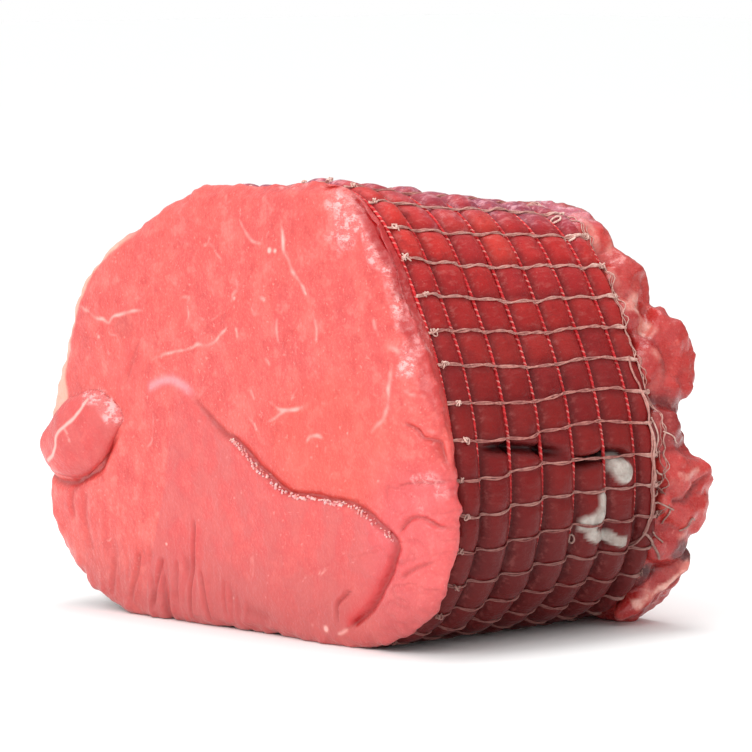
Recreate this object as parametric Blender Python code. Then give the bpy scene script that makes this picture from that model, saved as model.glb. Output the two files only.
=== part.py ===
"""A raw beef roasting joint in butcher's netting, as two closed solids: the meat, and the net round it.

The roll lies along X. Its flat cut face looks along -X and its ragged end along +X. It rests on z = 0.
"""

import math

import bpy
import numpy as np

# Driving dimensions, in metres.
SECTION_RADIUS = 0.0808  # mean radius of the roll, over the crowns of the pillows between the strings
SECTION_CENTRE_Y = 0.0006
SECTION_CENTRE_Z = 0.0657
# How the section sags away from a circle: (waves round the roll, size, angle of the wave's crest in degrees).
SECTION_WAVES = (
    (1, 0.0031, -40.5),
    (2, 0.0109, 10.8),
    (3, 0.0060, -109.2),
    (4, 0.0035, -159.5),
    (5, 0.0015, -92.2),
    (6, 0.0009, -142.0),
    (7, 0.0011, 13.2),
    (8, 0.0007, 92.4),
)
FACE_X = -0.0529  # the rim of the cut face
HEIGHT_FALL = 0.90  # share of its height that the roll loses in every metre towards the ragged end
WIDTH_FALL = 0.30

STRINGS = 48  # lengthwise strings of the net
STRING_PHASE = 0.30  # of one string gap
NEAR_SIDE_DENSITY = 0.0064  # strings lie a little closer together on the -Y side
HOOP_FIRST = 0.0025  # from the rim of the face
HOOP_SECOND = 0.0128
HOOP_PITCH = 0.0135
EVEN_HOOPS = 6  # hoops that keep the pitch, the second one included
HOOP_LAST = 0.0895  # the net is gathered here, so this gap is shorter
HOOP_BOW = 0.0035  # hoops sway towards the ragged end below the shoulder of the near side
BOW_ANGLE = 22.0
BOW_WIDTH = 20.0

GROOVE_DEPTH = 0.0034  # how deep the net bites below the crowns of the pillows
# Deeper still halfway between two crossings, so that a straight stretch of net clears the meat.
HOOP_DIP = 0.0006
NET_CLEARANCE = 0.00092  # from the bottom of a groove to the flat of the net
NET_THICKNESS = 0.00125
NET_HALF_WIDTH = 0.0007
FOOT_DEPTH = 0.0009  # the pillows under the roll are pressed flat by this much

NUB_CENTRE = (-0.0597, 0.0690, 0.0555)
NUB_RADII = (0.0079, 0.0175, 0.0125)
NUB_TILT = -12.0

# The lobes of the ragged end: (angle round the roll, half width in degrees, reach past END_REACH, swell).
END_REACH = 0.0200
LOBES = (
    (12.0, 10.0, 0.0045, 0.0030),
    (-14.0, 9.0, 0.0085, 0.0030),
    (-40.0, 10.0, 0.0110, 0.0030),
    (80.0, 24.0, 0.0090, 0.0000),
    (132.0, 16.0, 0.0050, 0.0015),
    (166.0, 14.0, 0.0085, 0.0020),
    (203.0, 15.0, 0.0060, 0.0010),
    (262.0, 26.0, 0.0070, 0.0000),
)
# The clefts between them: (angle, half width in degrees, depth along X, depth inwards).
CLEFTS = (
    (1.0, 4.0, 0.0040, 0.0050),
    (-27.0, 4.5, 0.0055, 0.0060),
    (40.0, 8.0, 0.0035, 0.0020),
    (112.0, 5.0, 0.0040, 0.0035),
    (149.0, 4.5, 0.0045, 0.0040),
    (185.0, 5.0, 0.0060, 0.0050),
    (228.0, 6.0, 0.0040, 0.0040),
)


def clear_scene():
    for old in list(bpy.data.objects):
        bpy.data.objects.remove(old, do_unlink=True)


def crown_radius(angle):
    """Radius of the roll's section, over the pillows, at an angle from -Y (0) up over +Z (a quarter turn)."""
    waves = (size * np.cos(count * angle - math.radians(turn)) for count, size, turn in SECTION_WAVES)
    return SECTION_RADIUS + sum(waves)


def surface(along, angle, out=0.0, shrink=1.0):
    """A point on the roll: along it from the face's rim, at an angle round it, and out from the crowns."""
    radius = (crown_radius(angle) + out) * shrink
    netted = np.clip(along, 0.0, HOOP_LAST)
    width = 1.0 - WIDTH_FALL * netted
    height = 1.0 - HEIGHT_FALL * netted
    x = FACE_X + along + 0.0 * angle
    y = SECTION_CENTRE_Y - radius * np.cos(angle) * width
    z = (SECTION_CENTRE_Z + FOOT_DEPTH + radius * np.sin(angle)) * height - FOOT_DEPTH
    return np.stack(np.broadcast_arrays(x, y, z), axis=-1)


def string_angle(position):
    """Angle of a position counted in string gaps, spaced by length of arc round the section."""
    angles = np.linspace(0.0, 2.0 * np.pi, 1441)
    outline = surface(0.0, angles)
    steps = np.linalg.norm(np.diff(outline, axis=0), axis=1)
    share = np.concatenate([[0.0], np.cumsum(steps)]) / steps.sum()
    wanted = (position + STRING_PHASE) / STRINGS
    wanted = wanted - NEAR_SIDE_DENSITY * np.sin(2.0 * np.pi * wanted)
    return np.interp(np.mod(wanted, 1.0), share, angles)


def bow(angle):
    """How far a hoop sways along X at this angle."""
    off = np.degrees(np.angle(np.exp(1j * (angle - math.radians(BOW_ANGLE)))))
    return HOOP_BOW * np.exp(-((off / BOW_WIDTH) ** 2))


def hoop_places():
    even = [HOOP_SECOND + HOOP_PITCH * count for count in range(EVEN_HOOPS)]
    return [HOOP_FIRST] + even + [HOOP_LAST]


def near(angle, centre, half_width):
    off = np.degrees(np.angle(np.exp(1j * (angle - math.radians(centre)))))
    return np.exp(-((off / half_width) ** 2))


def end_reach(angle):
    """(reach of the ragged end beyond the last hoop, swell outwards) at each angle."""
    reach = END_REACH + 0.0 * angle
    swell = 0.0 * angle
    for centre, half_width, length, bulge in LOBES:
        reach = reach + length * near(angle, centre, half_width)
        swell = swell + bulge * near(angle, centre, half_width)
    for centre, half_width, depth, inwards in CLEFTS:
        reach = reach - depth * near(angle, centre, half_width)
        swell = swell - inwards * near(angle, centre, half_width)
    return reach, swell


def meat_rings():
    """Rings of points from the middle of the cut face to the middle of the ragged end."""
    angle = string_angle(np.arange(2 * STRINGS) / 2.0)
    on_string = np.arange(2 * STRINGS) % 2 == 0
    rings = []
    # The cut face: a low dome inside a rounded rim.
    for along, shrink in ((-0.0058, 0.30), (-0.0050, 0.62), (-0.0034, 0.93)):
        rings.append(surface(along, angle, 0.0, shrink))
    rings.append(surface(-0.0012, angle, -0.0012))
    # The netted length: a groove under every hoop and string, and a pillow's crown in every cell.
    hoops = hoop_places()
    for place, after in zip(hoops, hoops[1:] + [None]):
        rings.append(surface(place + bow(angle), angle, -GROOVE_DEPTH - np.where(on_string, 0.0, HOOP_DIP)))
        if after is not None:
            middle = 0.5 * (place + after)
            rings.append(surface(middle + bow(angle), angle, np.where(on_string, -GROOVE_DEPTH, 0.0)))
    # The ragged end: lobes with clefts between them, then a hollow middle.
    reach, swell = end_reach(angle)
    last = hoops[-1]
    rings.append(surface(last + 0.35 * reach + bow(angle), angle, 0.5 * swell))
    rings.append(surface(last + 0.85 * reach, angle, -0.0010 + swell))
    rings.append(surface(last + reach, angle, -0.0060 + swell, 0.91))
    rings.append(surface(last + 0.65 * END_REACH + 0.5 * (reach - END_REACH), angle, 0.0, 0.55))
    return rings


def lathe_mesh(rings, front_tip, back_tip):
    """Closed mesh through the rings, with a fan to a tip at each end. Quads split towards each crown."""
    count = len(rings[0])
    points = [tuple(front_tip)]
    for ring in rings:
        points.extend(map(tuple, ring))
    points.append(tuple(back_tip))
    last = len(points) - 1
    faces = []
    for step in range(count):
        after = (step + 1) % count
        faces.append((0, 1 + step, 1 + after))
        final = 1 + (len(rings) - 1) * count
        faces.append((last, final + after, final + step))
    for row in range(len(rings) - 1):
        here = 1 + row * count
        there = here + count
        for step in range(count):
            after = (step + 1) % count
            corners = (here + step, there + step, there + after, here + after)
            if (row + step) % 2 == 0:
                faces.append((corners[0], corners[1], corners[2]))
                faces.append((corners[0], corners[2], corners[3]))
            else:
                faces.append((corners[0], corners[1], corners[3]))
                faces.append((corners[1], corners[2], corners[3]))
    return points, faces


def net_mesh():
    """One closed lattice: a ridge along every hoop and string, a flat underside, and a hole in each cell."""
    hoops = hoop_places()
    angle = string_angle(np.arange(STRINGS) * 1.0)
    flat = -GROOVE_DEPTH + NET_CLEARANCE
    ridge = flat + NET_THICKNESS
    side = NET_HALF_WIDTH / crown_radius(angle)
    points = []
    tops, corners = {}, {}
    for row, place in enumerate(hoops):
        top = surface(place + bow(angle), angle, ridge)
        for step in range(STRINGS):
            tops[row, step] = len(points)
            points.append(tuple(top[step]))
        for lengthwise in (-1, 1):
            for around in (-1, 1):
                turned = angle + around * side
                low = surface(place + bow(angle) + lengthwise * NET_HALF_WIDTH, turned, flat)
                for step in range(STRINGS):
                    corners[row, step, lengthwise, around] = len(points)
                    points.append(tuple(low[step]))
    faces = []
    rows = len(hoops)
    for row in range(rows):
        for step in range(STRINGS):
            after = (step + 1) % STRINGS
            own = {key: corners[(row, step) + key] for key in ((-1, -1), (-1, 1), (1, -1), (1, 1))}
            # Undersides of the crossing and of the hoop up to the next crossing.
            faces.append((own[-1, -1], own[-1, 1], own[1, 1], own[1, -1]))
            faces.append((own[-1, 1], corners[row, after, -1, -1], corners[row, after, 1, -1], own[1, 1]))
            if row + 1 < rows:
                # Underside of the string, and the four slopes round the cell's hole.
                faces.append((own[1, -1], own[1, 1], corners[row + 1, step, -1, 1],
                              corners[row + 1, step, -1, -1]))
                ring_top = (tops[row, step], tops[row + 1, step], tops[row + 1, after], tops[row, after])
                ring_low = (own[1, 1], corners[row + 1, step, -1, 1],
                            corners[row + 1, after, -1, -1], corners[row, after, 1, -1])
                for side_number in range(4):
                    follow = (side_number + 1) % 4
                    faces.append((ring_top[side_number], ring_top[follow], ring_low[follow],
                                  ring_low[side_number]))
            # The outer slopes of the first and last hoops.
            for edge_row, lengthwise in ((0, -1), (rows - 1, 1)):
                if row != edge_row:
                    continue
                left, right = own[lengthwise, -1], own[lengthwise, 1]
                next_left = corners[row, after, lengthwise, -1]
                top, next_top = tops[row, step], tops[row, after]
                slopes = [(top, right, left), (top, next_top, next_left, right)]
                for slope in slopes:
                    faces.append(slope if lengthwise < 0 else slope[::-1])
    return points, faces


def add_object(name, points, faces):
    mesh = bpy.data.meshes.new(name)
    mesh.from_pydata(points, [], faces)
    mesh.validate()
    mesh.update()
    made = bpy.data.objects.new(name, mesh)
    bpy.context.scene.collection.objects.link(made)
    return made


def paint(made, slot, colour, roughness):
    material = bpy.data.materials.new(slot)
    material.use_nodes = True
    shader = material.node_tree.nodes["Principled BSDF"]
    shader.inputs["Base Color"].default_value = (*colour, 1.0)
    shader.inputs["Roughness"].default_value = roughness
    shader.inputs["Metallic"].default_value = 0.0
    made.data.materials.append(material)


def helper(made):
    made.hide_render = True
    made.display_type = "WIRE"
    return made


def add_boolean(made, operation, other):
    modifier = made.modifiers.new(operation.title() + " " + other.name, "BOOLEAN")
    modifier.operation = operation
    modifier.solver = "EXACT"
    modifier.object = other


def nub_muscle():
    """The small round muscle that stands out of the far edge of the cut face."""
    bpy.ops.mesh.primitive_uv_sphere_add(segments=20, ring_count=10, radius=1.0, location=NUB_CENTRE)
    nub = bpy.context.object
    nub.name = "nub_muscle"
    nub.scale = NUB_RADII
    nub.rotation_euler = (math.radians(NUB_TILT), 0.0, 0.0)
    return helper(nub)


def floor_cutter():
    bpy.ops.mesh.primitive_cube_add(size=1.0, location=(0.0, 0.0, -0.05))
    cutter = bpy.context.object
    cutter.name = "floor_cutter"
    cutter.scale = (0.4, 0.4, 0.1)
    return helper(cutter)


def beef_joint():
    """The meat: netted roll, cut face, small round muscle and ragged end."""
    rings = meat_rings()
    front_tip = surface(-0.0062, np.array([0.0]), 0.0, 0.0)[0]
    back_tip = surface(HOOP_LAST + 0.5 * END_REACH, np.array([0.0]), 0.0, 0.0)[0]
    meat = add_object("beef_joint", *lathe_mesh(rings, front_tip, back_tip))
    add_boolean(meat, "UNION", nub_muscle())
    add_boolean(meat, "DIFFERENCE", floor_cutter())
    paint(meat, "beef", (0.62, 0.10, 0.09), 0.35)
    return meat


def net():
    """The knitted net: elastic hoops round the roll, joined by strings along it."""
    netting = add_object("net", *net_mesh())
    paint(netting, "netting", (0.66, 0.22, 0.19), 0.6)
    return netting


clear_scene()
beef_joint()
net()
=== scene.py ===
# %% [markdown]
# # A beef joint in butcher's netting
#
# The joint is a boned roll of raw beef. One end is a clean knife cut, the other is the ragged end of the
# muscle, and a knitted elastic net squeezes the length between them into rows of small pillows.
#
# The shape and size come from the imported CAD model, which is loaded first and never moved. Everything below
# grows a finer skin over it: the meat in four pieces, and the net in a few more.

# %% Load the frame
import math
from itertools import product

import bpy
import numpy as np
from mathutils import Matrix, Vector
from mathutils.bvhtree import BVHTree


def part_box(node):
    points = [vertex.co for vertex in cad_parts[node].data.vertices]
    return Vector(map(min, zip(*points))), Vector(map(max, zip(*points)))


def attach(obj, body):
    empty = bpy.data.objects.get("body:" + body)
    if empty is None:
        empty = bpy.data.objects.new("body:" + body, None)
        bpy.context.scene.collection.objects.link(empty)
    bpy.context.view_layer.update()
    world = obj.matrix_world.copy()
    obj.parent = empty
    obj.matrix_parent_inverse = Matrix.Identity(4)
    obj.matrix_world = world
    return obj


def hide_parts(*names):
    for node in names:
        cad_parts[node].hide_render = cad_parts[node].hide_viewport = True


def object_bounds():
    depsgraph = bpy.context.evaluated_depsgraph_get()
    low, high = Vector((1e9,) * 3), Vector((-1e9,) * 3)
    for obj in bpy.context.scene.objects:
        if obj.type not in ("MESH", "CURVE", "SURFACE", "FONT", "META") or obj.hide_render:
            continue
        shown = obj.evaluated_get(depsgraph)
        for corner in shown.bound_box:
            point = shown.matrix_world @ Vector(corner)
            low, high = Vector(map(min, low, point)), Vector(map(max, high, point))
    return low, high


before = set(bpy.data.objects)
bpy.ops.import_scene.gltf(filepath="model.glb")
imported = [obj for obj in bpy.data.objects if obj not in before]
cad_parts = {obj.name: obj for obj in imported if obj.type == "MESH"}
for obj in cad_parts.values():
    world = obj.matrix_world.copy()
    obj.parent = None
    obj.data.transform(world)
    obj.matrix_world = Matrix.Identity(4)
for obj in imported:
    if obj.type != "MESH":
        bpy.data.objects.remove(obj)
cad_low, cad_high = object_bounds()
print("CAD box in mm:", [round(1000 * v, 1) for v in (*cad_low, *cad_high)])

# %% [markdown]
# ## The section of the roll
#
# A roll of meat sags under its own weight, so its section is a circle with a few slow waves added. A sum of
# cosines is a good way to draw such an outline: each wave has a size and a direction, and the outline closes
# by itself. The same section runs along the whole roll and only shrinks a little towards the ragged end.
# Lengths along X are measured from the rim of the cut face, which the net's own box gives.

# %% Section of the roll
MM = 0.001
SECTION_RADIUS = 0.0808
SECTION_CENTRE_Y, SECTION_CENTRE_Z = 0.0006, 0.0657
SECTION_WAVES = (
    (1, 0.0031, -40.5),
    (2, 0.0109, 10.8),
    (3, 0.0060, -109.2),
    (4, 0.0035, -159.5),
    (5, 0.0015, -92.2),
    (6, 0.0009, -142.0),
    (7, 0.0011, 13.2),
    (8, 0.0007, 92.4),
)
HEIGHT_FALL, WIDTH_FALL = 0.90, 0.30  # share of its size the roll loses in every metre towards its ragged end
FOOT_DEPTH = 0.0009  # the pillows underneath are pressed flat by this much
HOOP_FIRST, HOOP_SECOND, HOOP_PITCH, HOOP_LAST = 0.0025, 0.0128, 0.0135, 0.0895
EVEN_HOOPS = 6
STRINGS = 48
GROOVE_DEPTH = 0.0034  # how deep the net bites below the crowns of the pillows

net_low, net_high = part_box("net")
FACE_X = net_low.x - HOOP_FIRST + 0.0007  # the first hoop's flat is 1.4 mm wide
HOOPS = [HOOP_FIRST] + [HOOP_SECOND + HOOP_PITCH * count for count in range(EVEN_HOOPS)] + [HOOP_LAST]


def smooth_step(low, high, value):
    t = np.clip((value - low) / (high - low), 0.0, 1.0)
    return t * t * (3 - 2 * t)


def crown_radius(angle):
    """Radius over the pillows. The angle starts at the near side (-Y) and rises towards the top (+Z)."""
    return SECTION_RADIUS + sum(s * np.cos(n * angle - math.radians(a)) for n, s, a in SECTION_WAVES)


def on_roll(along, angle, out=0.0, shrink=1.0):
    """Points on the roll: along it from the rim, at an angle round it, and out from the crowns."""
    radius = (crown_radius(angle) + out) * shrink
    netted = np.clip(along, 0.0, HOOP_LAST)
    width, height = 1.0 - WIDTH_FALL * netted, 1.0 - HEIGHT_FALL * netted
    y = SECTION_CENTRE_Y - radius * np.cos(angle) * width
    z = (SECTION_CENTRE_Z + FOOT_DEPTH + radius * np.sin(angle)) * height - FOOT_DEPTH
    return np.stack(np.broadcast_arrays(FACE_X + along + 0.0 * angle, y, z), axis=-1)


def turn_between(angle, degrees):
    """Signed difference in degrees between an angle and a direction."""
    return np.degrees(np.angle(np.exp(1j * (angle - math.radians(degrees)))))


def near(angle, degrees, half_width):
    return np.exp(-((turn_between(angle, degrees) / half_width) ** 2))


def bow(angle):
    """The hoops sway towards the ragged end below the shoulder of the near side."""
    return 0.0035 * near(angle, 22.0, 20.0)


def string_angle(position):
    """Angle of a place counted in string gaps, spaced evenly by length of arc."""
    angles = np.linspace(0.0, 2.0 * np.pi, 1441)
    steps = np.linalg.norm(np.diff(on_roll(0.0, angles), axis=0), axis=1)
    share = np.concatenate([[0.0], np.cumsum(steps)]) / steps.sum()
    wanted = (position + 0.30) / STRINGS
    wanted = wanted - 0.0064 * np.sin(2.0 * np.pi * wanted)
    turns = np.floor(wanted)
    return np.interp(wanted - turns, share, angles) + 2.0 * np.pi * turns


def pull(position, along):
    """How far, in string gaps, the meat has dragged the strings round the roll at this place."""
    angle = string_angle(position)
    sag = 0.52 * near(angle, -5, 32) + 0.55 * near(angle, -36, 15)
    return -sag * (1 - smooth_step(0.0, 0.078, along)) + 0.42 * near(angle, 58, 26) * smooth_step(0.02, 0.09, along)


rim = on_roll(0.0, np.linspace(0.0, 2.0 * np.pi, 361))
girth = np.linalg.norm(np.diff(rim, axis=0), axis=1).sum()
print("girth of the cut face:", round(1000 * girth), "mm; one string gap:", round(1000 * girth / STRINGS, 1), "mm")

# %% [markdown]
# ## Two small tools
#
# Meat is never smooth, so nearly every piece needs soft random bumps. Gradient noise gives them: a random
# slope sits on every corner of an invisible lattice, and a point blends the slopes of its cell. Written with
# arrays, it moves a hundred thousand points in a moment, and its seed keeps it the same on each run.
#
# The second tool turns a sheet of points in rows and columns into a mesh. Sheets keep the detail where it is
# wanted, along the strings and hoops, which a sculpted ball of triangles wouldn't.

# %% Soft random bumps
slopes = np.random.default_rng(7).normal(size=(4096, 3))
slopes /= np.linalg.norm(slopes, axis=1, keepdims=True)


def bumps(points, size, seed=0):
    """Gradient noise in about -1 to 1 for points in metres, with lumps of this size."""
    place = np.asarray(points) / size + 37.2
    corner = np.floor(place).astype(np.int64)
    inside = place - corner
    ease = inside**3 * (inside * (inside * 6 - 15) + 10)
    total = 0.0
    for step in product((0, 1), repeat=3):
        cell = corner + step
        pick = (cell[..., 0] * 1619 + cell[..., 1] * 31337 + cell[..., 2] * 6971 + seed * 1013) & 0x7FFFFFFF
        pick = (pick ^ (pick >> 9)) * 60493 % 4096
        share = np.prod(np.where(np.array(step) == 1, ease, 1 - ease), axis=-1)
        total = total + share * np.einsum("...k,...k->...", slopes[pick], inside - step)
    return 1.6 * total


def rough_bumps(points, size, seed=0, layers=3):
    """Several sizes of bumps added up, each half as large as the last."""
    return sum(bumps(points, size / 2**k, seed + 17 * k) / 2**k for k in range(layers))


# %% Sheets of points
def sheet_faces(rows, columns, closed=False):
    """Four-sided faces between neighbouring points of a sheet, closed round its columns if asked."""
    spans = columns if closed else columns - 1
    row, column = np.meshgrid(np.arange(rows - 1), np.arange(spans), indexing="ij")
    after = (column + 1) % columns
    here, there = row * columns, (row + 1) * columns
    return np.stack([here + column, there + column, there + after, here + after], -1).reshape(-1, 4)


def make_mesh(name, points, faces, values=None):
    """A smooth-shaded object from arrays. values holds one number per point for each named attribute."""
    mesh = bpy.data.meshes.new(name)
    mesh.from_pydata(np.asarray(points).reshape(-1, 3), [], faces)
    mesh.update()
    mesh.shade_smooth()
    for key, numbers in (values or {}).items():
        layer = mesh.attributes.new(key, "FLOAT", "POINT")
        layer.data.foreach_set("value", np.asarray(numbers, np.float32).ravel())
    made = bpy.data.objects.new(name, mesh)
    bpy.context.scene.collection.objects.link(made)
    print(name, "has", sum(len(p.vertices) - 2 for p in mesh.polygons), "triangles")
    return made


def finish_piece(made, node, material):
    """Ties a piece to the frame: it rides on the one body, stands for a CAD node and takes its finish."""
    made.data.materials.append(material)
    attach(made, "root")
    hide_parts(node)
    return made

# %% [markdown]
# ## Drawing on the cut face
#
# The knife has opened several muscles at once, so the face carries thin lines of fat between them, one deep
# seam where a tongue of muscle laps over its neighbour, and folds along the rim. All of these are lines, so
# one tool serves for all: it measures how far every point lies from a smooth line through a few given
# points, and on which side. The distance then drives both height and colour. Places on the face are in
# millimetres: first across it (Y), then up (Z).

# %% Lines through hand-placed points
def smooth_line(points, step=1.0):
    """A Catmull-Rom curve through the points, about one step apart."""
    p = np.asarray(points, float)
    if len(p) < 3:
        count = max(2, int(np.linalg.norm(p[-1] - p[0]) / step) + 1)
        return p[0] + (p[-1] - p[0]) * np.linspace(0, 1, count)[:, None]
    p = np.concatenate([[2 * p[0] - p[1]], p, [2 * p[-1] - p[-2]]])
    pieces = []
    for a, b, c, d in zip(p, p[1:], p[2:], p[3:]):
        t = np.linspace(0, 1, max(2, int(np.linalg.norm(c - b) / step) + 1), endpoint=False)[:, None]
        pieces.append(0.5 * (2 * b + (c - a) * t + (2 * a - 5 * b + 4 * c - d) * t**2
                             + (3 * b - a - 3 * c + d) * t**3))
    return np.concatenate(pieces + [p[-2:-1]])


def line_distance(places, points, reach=8.0):
    """(distance, share of the line passed, side) from each place to a line; far places get a large distance."""
    line = smooth_line(points)
    places = np.asarray(places, float)
    shape = places.shape[:-1]
    flat = places.reshape(-1, 2)
    far = np.full(len(flat), 1e3)
    share, side = np.zeros(len(flat)), np.ones(len(flat))
    close = np.where(((flat > line.min(0) - reach) & (flat < line.max(0) + reach)).all(1))[0]
    run = np.concatenate([[0.0], np.cumsum(np.linalg.norm(np.diff(line, axis=0), axis=1))])
    for k in range(len(line) - 1):
        a, along = line[k], line[k + 1] - line[k]
        length = max(along @ along, 1e-9)
        off = flat[close] - a
        t = np.clip(off @ along / length, 0, 1)
        gap = np.linalg.norm(off - t[:, None] * along, axis=1)
        better = gap < far[close]
        index = close[better]
        far[index] = gap[better]
        share[index] = (run[k] + t[better] * math.sqrt(length)) / run[-1]
        side[index] = np.sign(along[0] * off[better, 1] - along[1] * off[better, 0])
    return far.reshape(shape), share.reshape(shape), side.reshape(shape)


# %% [markdown]
# ## The cut face
#
# The face is a low dome: the net squeezes the roll, and the meat swells out of the open end. Its edge rolls
# over into a soft lip and dives under the first hoop. A disc made of rings would crowd its points in the
# middle, so a square sheet is pulled round into a disc instead, which keeps every cell about half a
# millimetre wide. The dome's profile is a short list of points turned into a smooth curve.

# %% Dome and lip
FACE_CELLS = 296
DOME = [(0.0, -6.2), (0.30, -6.0), (0.62, -5.3), (0.80, -4.6), (0.90, -3.7), (0.95, -2.9), (0.980, -1.8),
        (0.996, -0.6), (1.0, 0.5), (0.992, 1.6), (0.975, 2.3), (0.955, 2.7), (0.942, 3.3)]

profile = smooth_line([(78.0 * share, x) for share, x in DOME], 0.5)
profile_run = np.concatenate([[0.0], np.cumsum(np.linalg.norm(np.diff(profile, axis=0), axis=1))])
profile_run /= profile_run[-1]

across, up = np.meshgrid(*[np.linspace(-1, 1, FACE_CELLS + 1)] * 2, indexing="ij")
wide = np.abs(across) > np.abs(up)
longer = np.where(wide, across, up)
ratio = np.where(wide, up, across) / np.where(longer == 0, 1, longer)
face_angle = np.where(wide, ratio * math.pi / 4, math.pi / 2 - ratio * math.pi / 4) + np.where(longer < 0, math.pi, 0)
face_share = np.abs(longer)
face_radius = np.interp(face_share, profile_run, profile[:, 0]) / 78.0
face_along = np.interp(face_share, profile_run, profile[:, 1]) * MM
under_lip = smooth_step(0.5 * MM, 2.4 * MM, face_along) * (face_share > 0.8)
face_base = on_roll(face_along + bow(face_angle) * under_lip, face_angle, 0.0, face_radius)
flat = np.stack([face_base[..., 1], face_base[..., 2]], -1) / MM
print("the face is", np.round(np.ptp(flat.reshape(-1, 2), axis=0), 1), "mm across and high")

# %% [markdown]
# ### Seam, folds and furrows
#
# The tongue of muscle at the bottom stands proud of the seam, and its upper edge is a rounded lip. At the
# right end the seam turns down into a deep fold. Shorter folds cross the rim, and the bottom of the face has
# upright furrows where the fibres were cut and dragged.

# %% Heights on the face
SEAM = [(35, 72), (28, 74), (21, 73), (17, 70), (9, 64), (3, 60), (-3, 58), (-9, 54), (-13, 51), (-17, 49),
        (-22, 46), (-28, 44), (-37, 44), (-43, 43.5), (-52, 43), (-57, 41.5), (-61, 40), (-64, 38), (-68, 36),
        (-71, 33), (-70, 29), (-67, 23), (-64, 19), (-61, 15), (-58, 12), (-52, 8)]
FOLDS = [  # line, depth and half width in millimetres
    ([(-73, 69), (-79, 67), (-81, 65), (-86, 64), (-87, 62), (-89, 57)], 0.9, 0.7),
    ([(-71, 50), (-75, 51), (-81, 52), (-85, 52), (-90, 53)], 0.7, 0.6),
    ([(-71, 36), (-74, 39), (-78, 41.5), (-82, 41.5), (-86, 40), (-90, 39)], 1.0, 0.8),
    ([(-72, 23), (-77, 26), (-82, 28), (-85, 29)], 0.7, 0.7),
    ([(-52, 18), (-49, 15.5), (-46, 13), (-45.5, 8)], 0.9, 0.55),
    ([(41, 86), (43, 84), (45, 80), (47, 75), (49, 71)], 0.35, 0.8),
    ([(33, 78), (29, 77), (26, 76)], 0.3, 0.6),
    ([(32, 122), (28, 123), (21, 123), (16, 122), (8, 120)], 0.25, 0.7),
    ([(27, 115), (23, 116), (19, 115), (16, 114)], 0.2, 0.7),
    ([(73, 42), (76, 34), (75, 28)], 0.5, 1.2),
    ([(68, 38), (69, 28), (66, 18)], 0.4, 1.5),
    ([(-4, 7), (-15, 5)], 0.6, 3.0),
    ([(55.5, 18), (56, 13), (58, 6)], 0.55, 0.9),
    ([(42.5, 21), (45, 13), (49, 5)], 0.6, 0.7),
    ([(32, 20), (35.5, 11), (39, 3.5)], 0.75, 0.65),
    ([(25.5, 20), (26, 14), (26.5, 6)], 0.45, 0.6),
    ([(17, 34), (17, 27), (18, 19), (20, 10), (21, 3)], 0.75, 0.55),
    ([(15, 18), (13.5, 10), (12.5, 2.5)], 0.65, 0.6),
    ([(4, 16), (5, 10), (4.5, 5)], 0.35, 0.6),
]
NUB_EDGE = [(60, 68), (50, 63), (51, 58), (57, 51), (61, 45), (67, 42), (75, 39), (85, 39), (93, 42)]

height = 0.45 * bumps(face_base, 0.030, 1) + 0.30 * bumps(face_base, 0.011, 2) + 0.10 * bumps(face_base, 0.004, 3)
wrinkled = smooth_step(-52, -70, flat[..., 0]) * smooth_step(62, 48, flat[..., 1] + 8 * bumps(face_base, 0.02, 11))
ripples = bumps(face_base * np.array([1, 0.7, 1.5]), 0.0100, 12) + 0.35 * bumps(face_base, 0.0045, 13)
height += 0.35 * near(face_angle, 38, 28) * smooth_step(0.86, 0.94, face_radius) * ripples
height += wrinkled * (1.5 * (0.35 - np.abs(ripples)) - 0.5 * np.exp(-(ripples / 0.07) ** 2))
# painted shade: dark red in the creases of the wrinkled patch; the seam, the folds and the nub's crevice add theirs
# below
crease = 0.3 * wrinkled * smooth_step(0.14, 0.0, np.abs(ripples))

seam_gap, seam_share, seam_side = line_distance(flat, SEAM, 26.0)
proud = 1.5 * smooth_step(0.02, 0.45, seam_share) * (1 - 0.7 * smooth_step(0.70, 0.86, seam_share))
tongue = seam_side * seam_gap  # above nought on the tongue
height += proud * np.where(tongue > 0, np.exp(-np.clip(tongue - 1.2, 0, None) / 11.0) * (1 - np.exp(-(tongue / 0.55))),
                           0)
height -= (0.5 + 0.6 * proud) * np.exp(-np.abs(tongue + 0.45) / np.where(tongue < -0.45, 2.2, 0.45)) * (seam_gap < 26)
crease = np.maximum(crease, np.exp(-((tongue + 0.45) / 0.85) ** 2) * smooth_step(0.10, 0.2, seam_share))
fold_depth = smooth_step(0.74, 0.86, seam_share)
height -= 1.3 * fold_depth * np.exp(-(seam_gap / 0.9) ** 2)
# painted shade: deep red in and beside the fold at the seam's end
deep_red = fold_depth * np.exp(-(np.clip(tongue, -9, 0) / 1.1) ** 2) * np.exp(-(np.clip(tongue, 0, 9) / 3.2) ** 2)

for line, depth, half in FOLDS:
    gap, share, _ = line_distance(flat, line)
    ends = smooth_step(0.0, 0.12, share) * (1 - 0.5 * smooth_step(0.85, 1.0, share))
    height -= depth * ends * np.exp(-(gap / half) ** 2)
    height += 0.35 * depth * ends * np.exp(-((gap - 2.2 * half) / (1.2 * half)) ** 2)
    crease = np.maximum(crease, 0.8 * min(1.0, depth) * ends * np.exp(-(gap / (0.7 * half)) ** 2))

stretched = np.stack([flat[..., 0] / 5.0 + 0.25 * np.sin(flat[..., 1] / 9.0), flat[..., 1] / 34.0, 0 * height], -1)
furrow = bumps(stretched, 1.0, 8) + 0.5 * bumps(stretched * 2.1, 1.0, 9)
foot = smooth_step(34, 10, flat[..., 1] + 12 * bumps(face_base, 0.016, 10)) * smooth_step(-20, 20, flat[..., 0])
foot *= smooth_step(-0.45, 0.35, bumps(face_base, 0.010, 15))
height += 1.0 * foot * (furrow - 1.3 * np.clip(-furrow - 0.25, 0, 1))
# painted shade: darker in the deep parts of the furrows
furrow_shade = foot * np.clip(-2.6 * furrow - 0.4, 0, 1)

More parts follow.
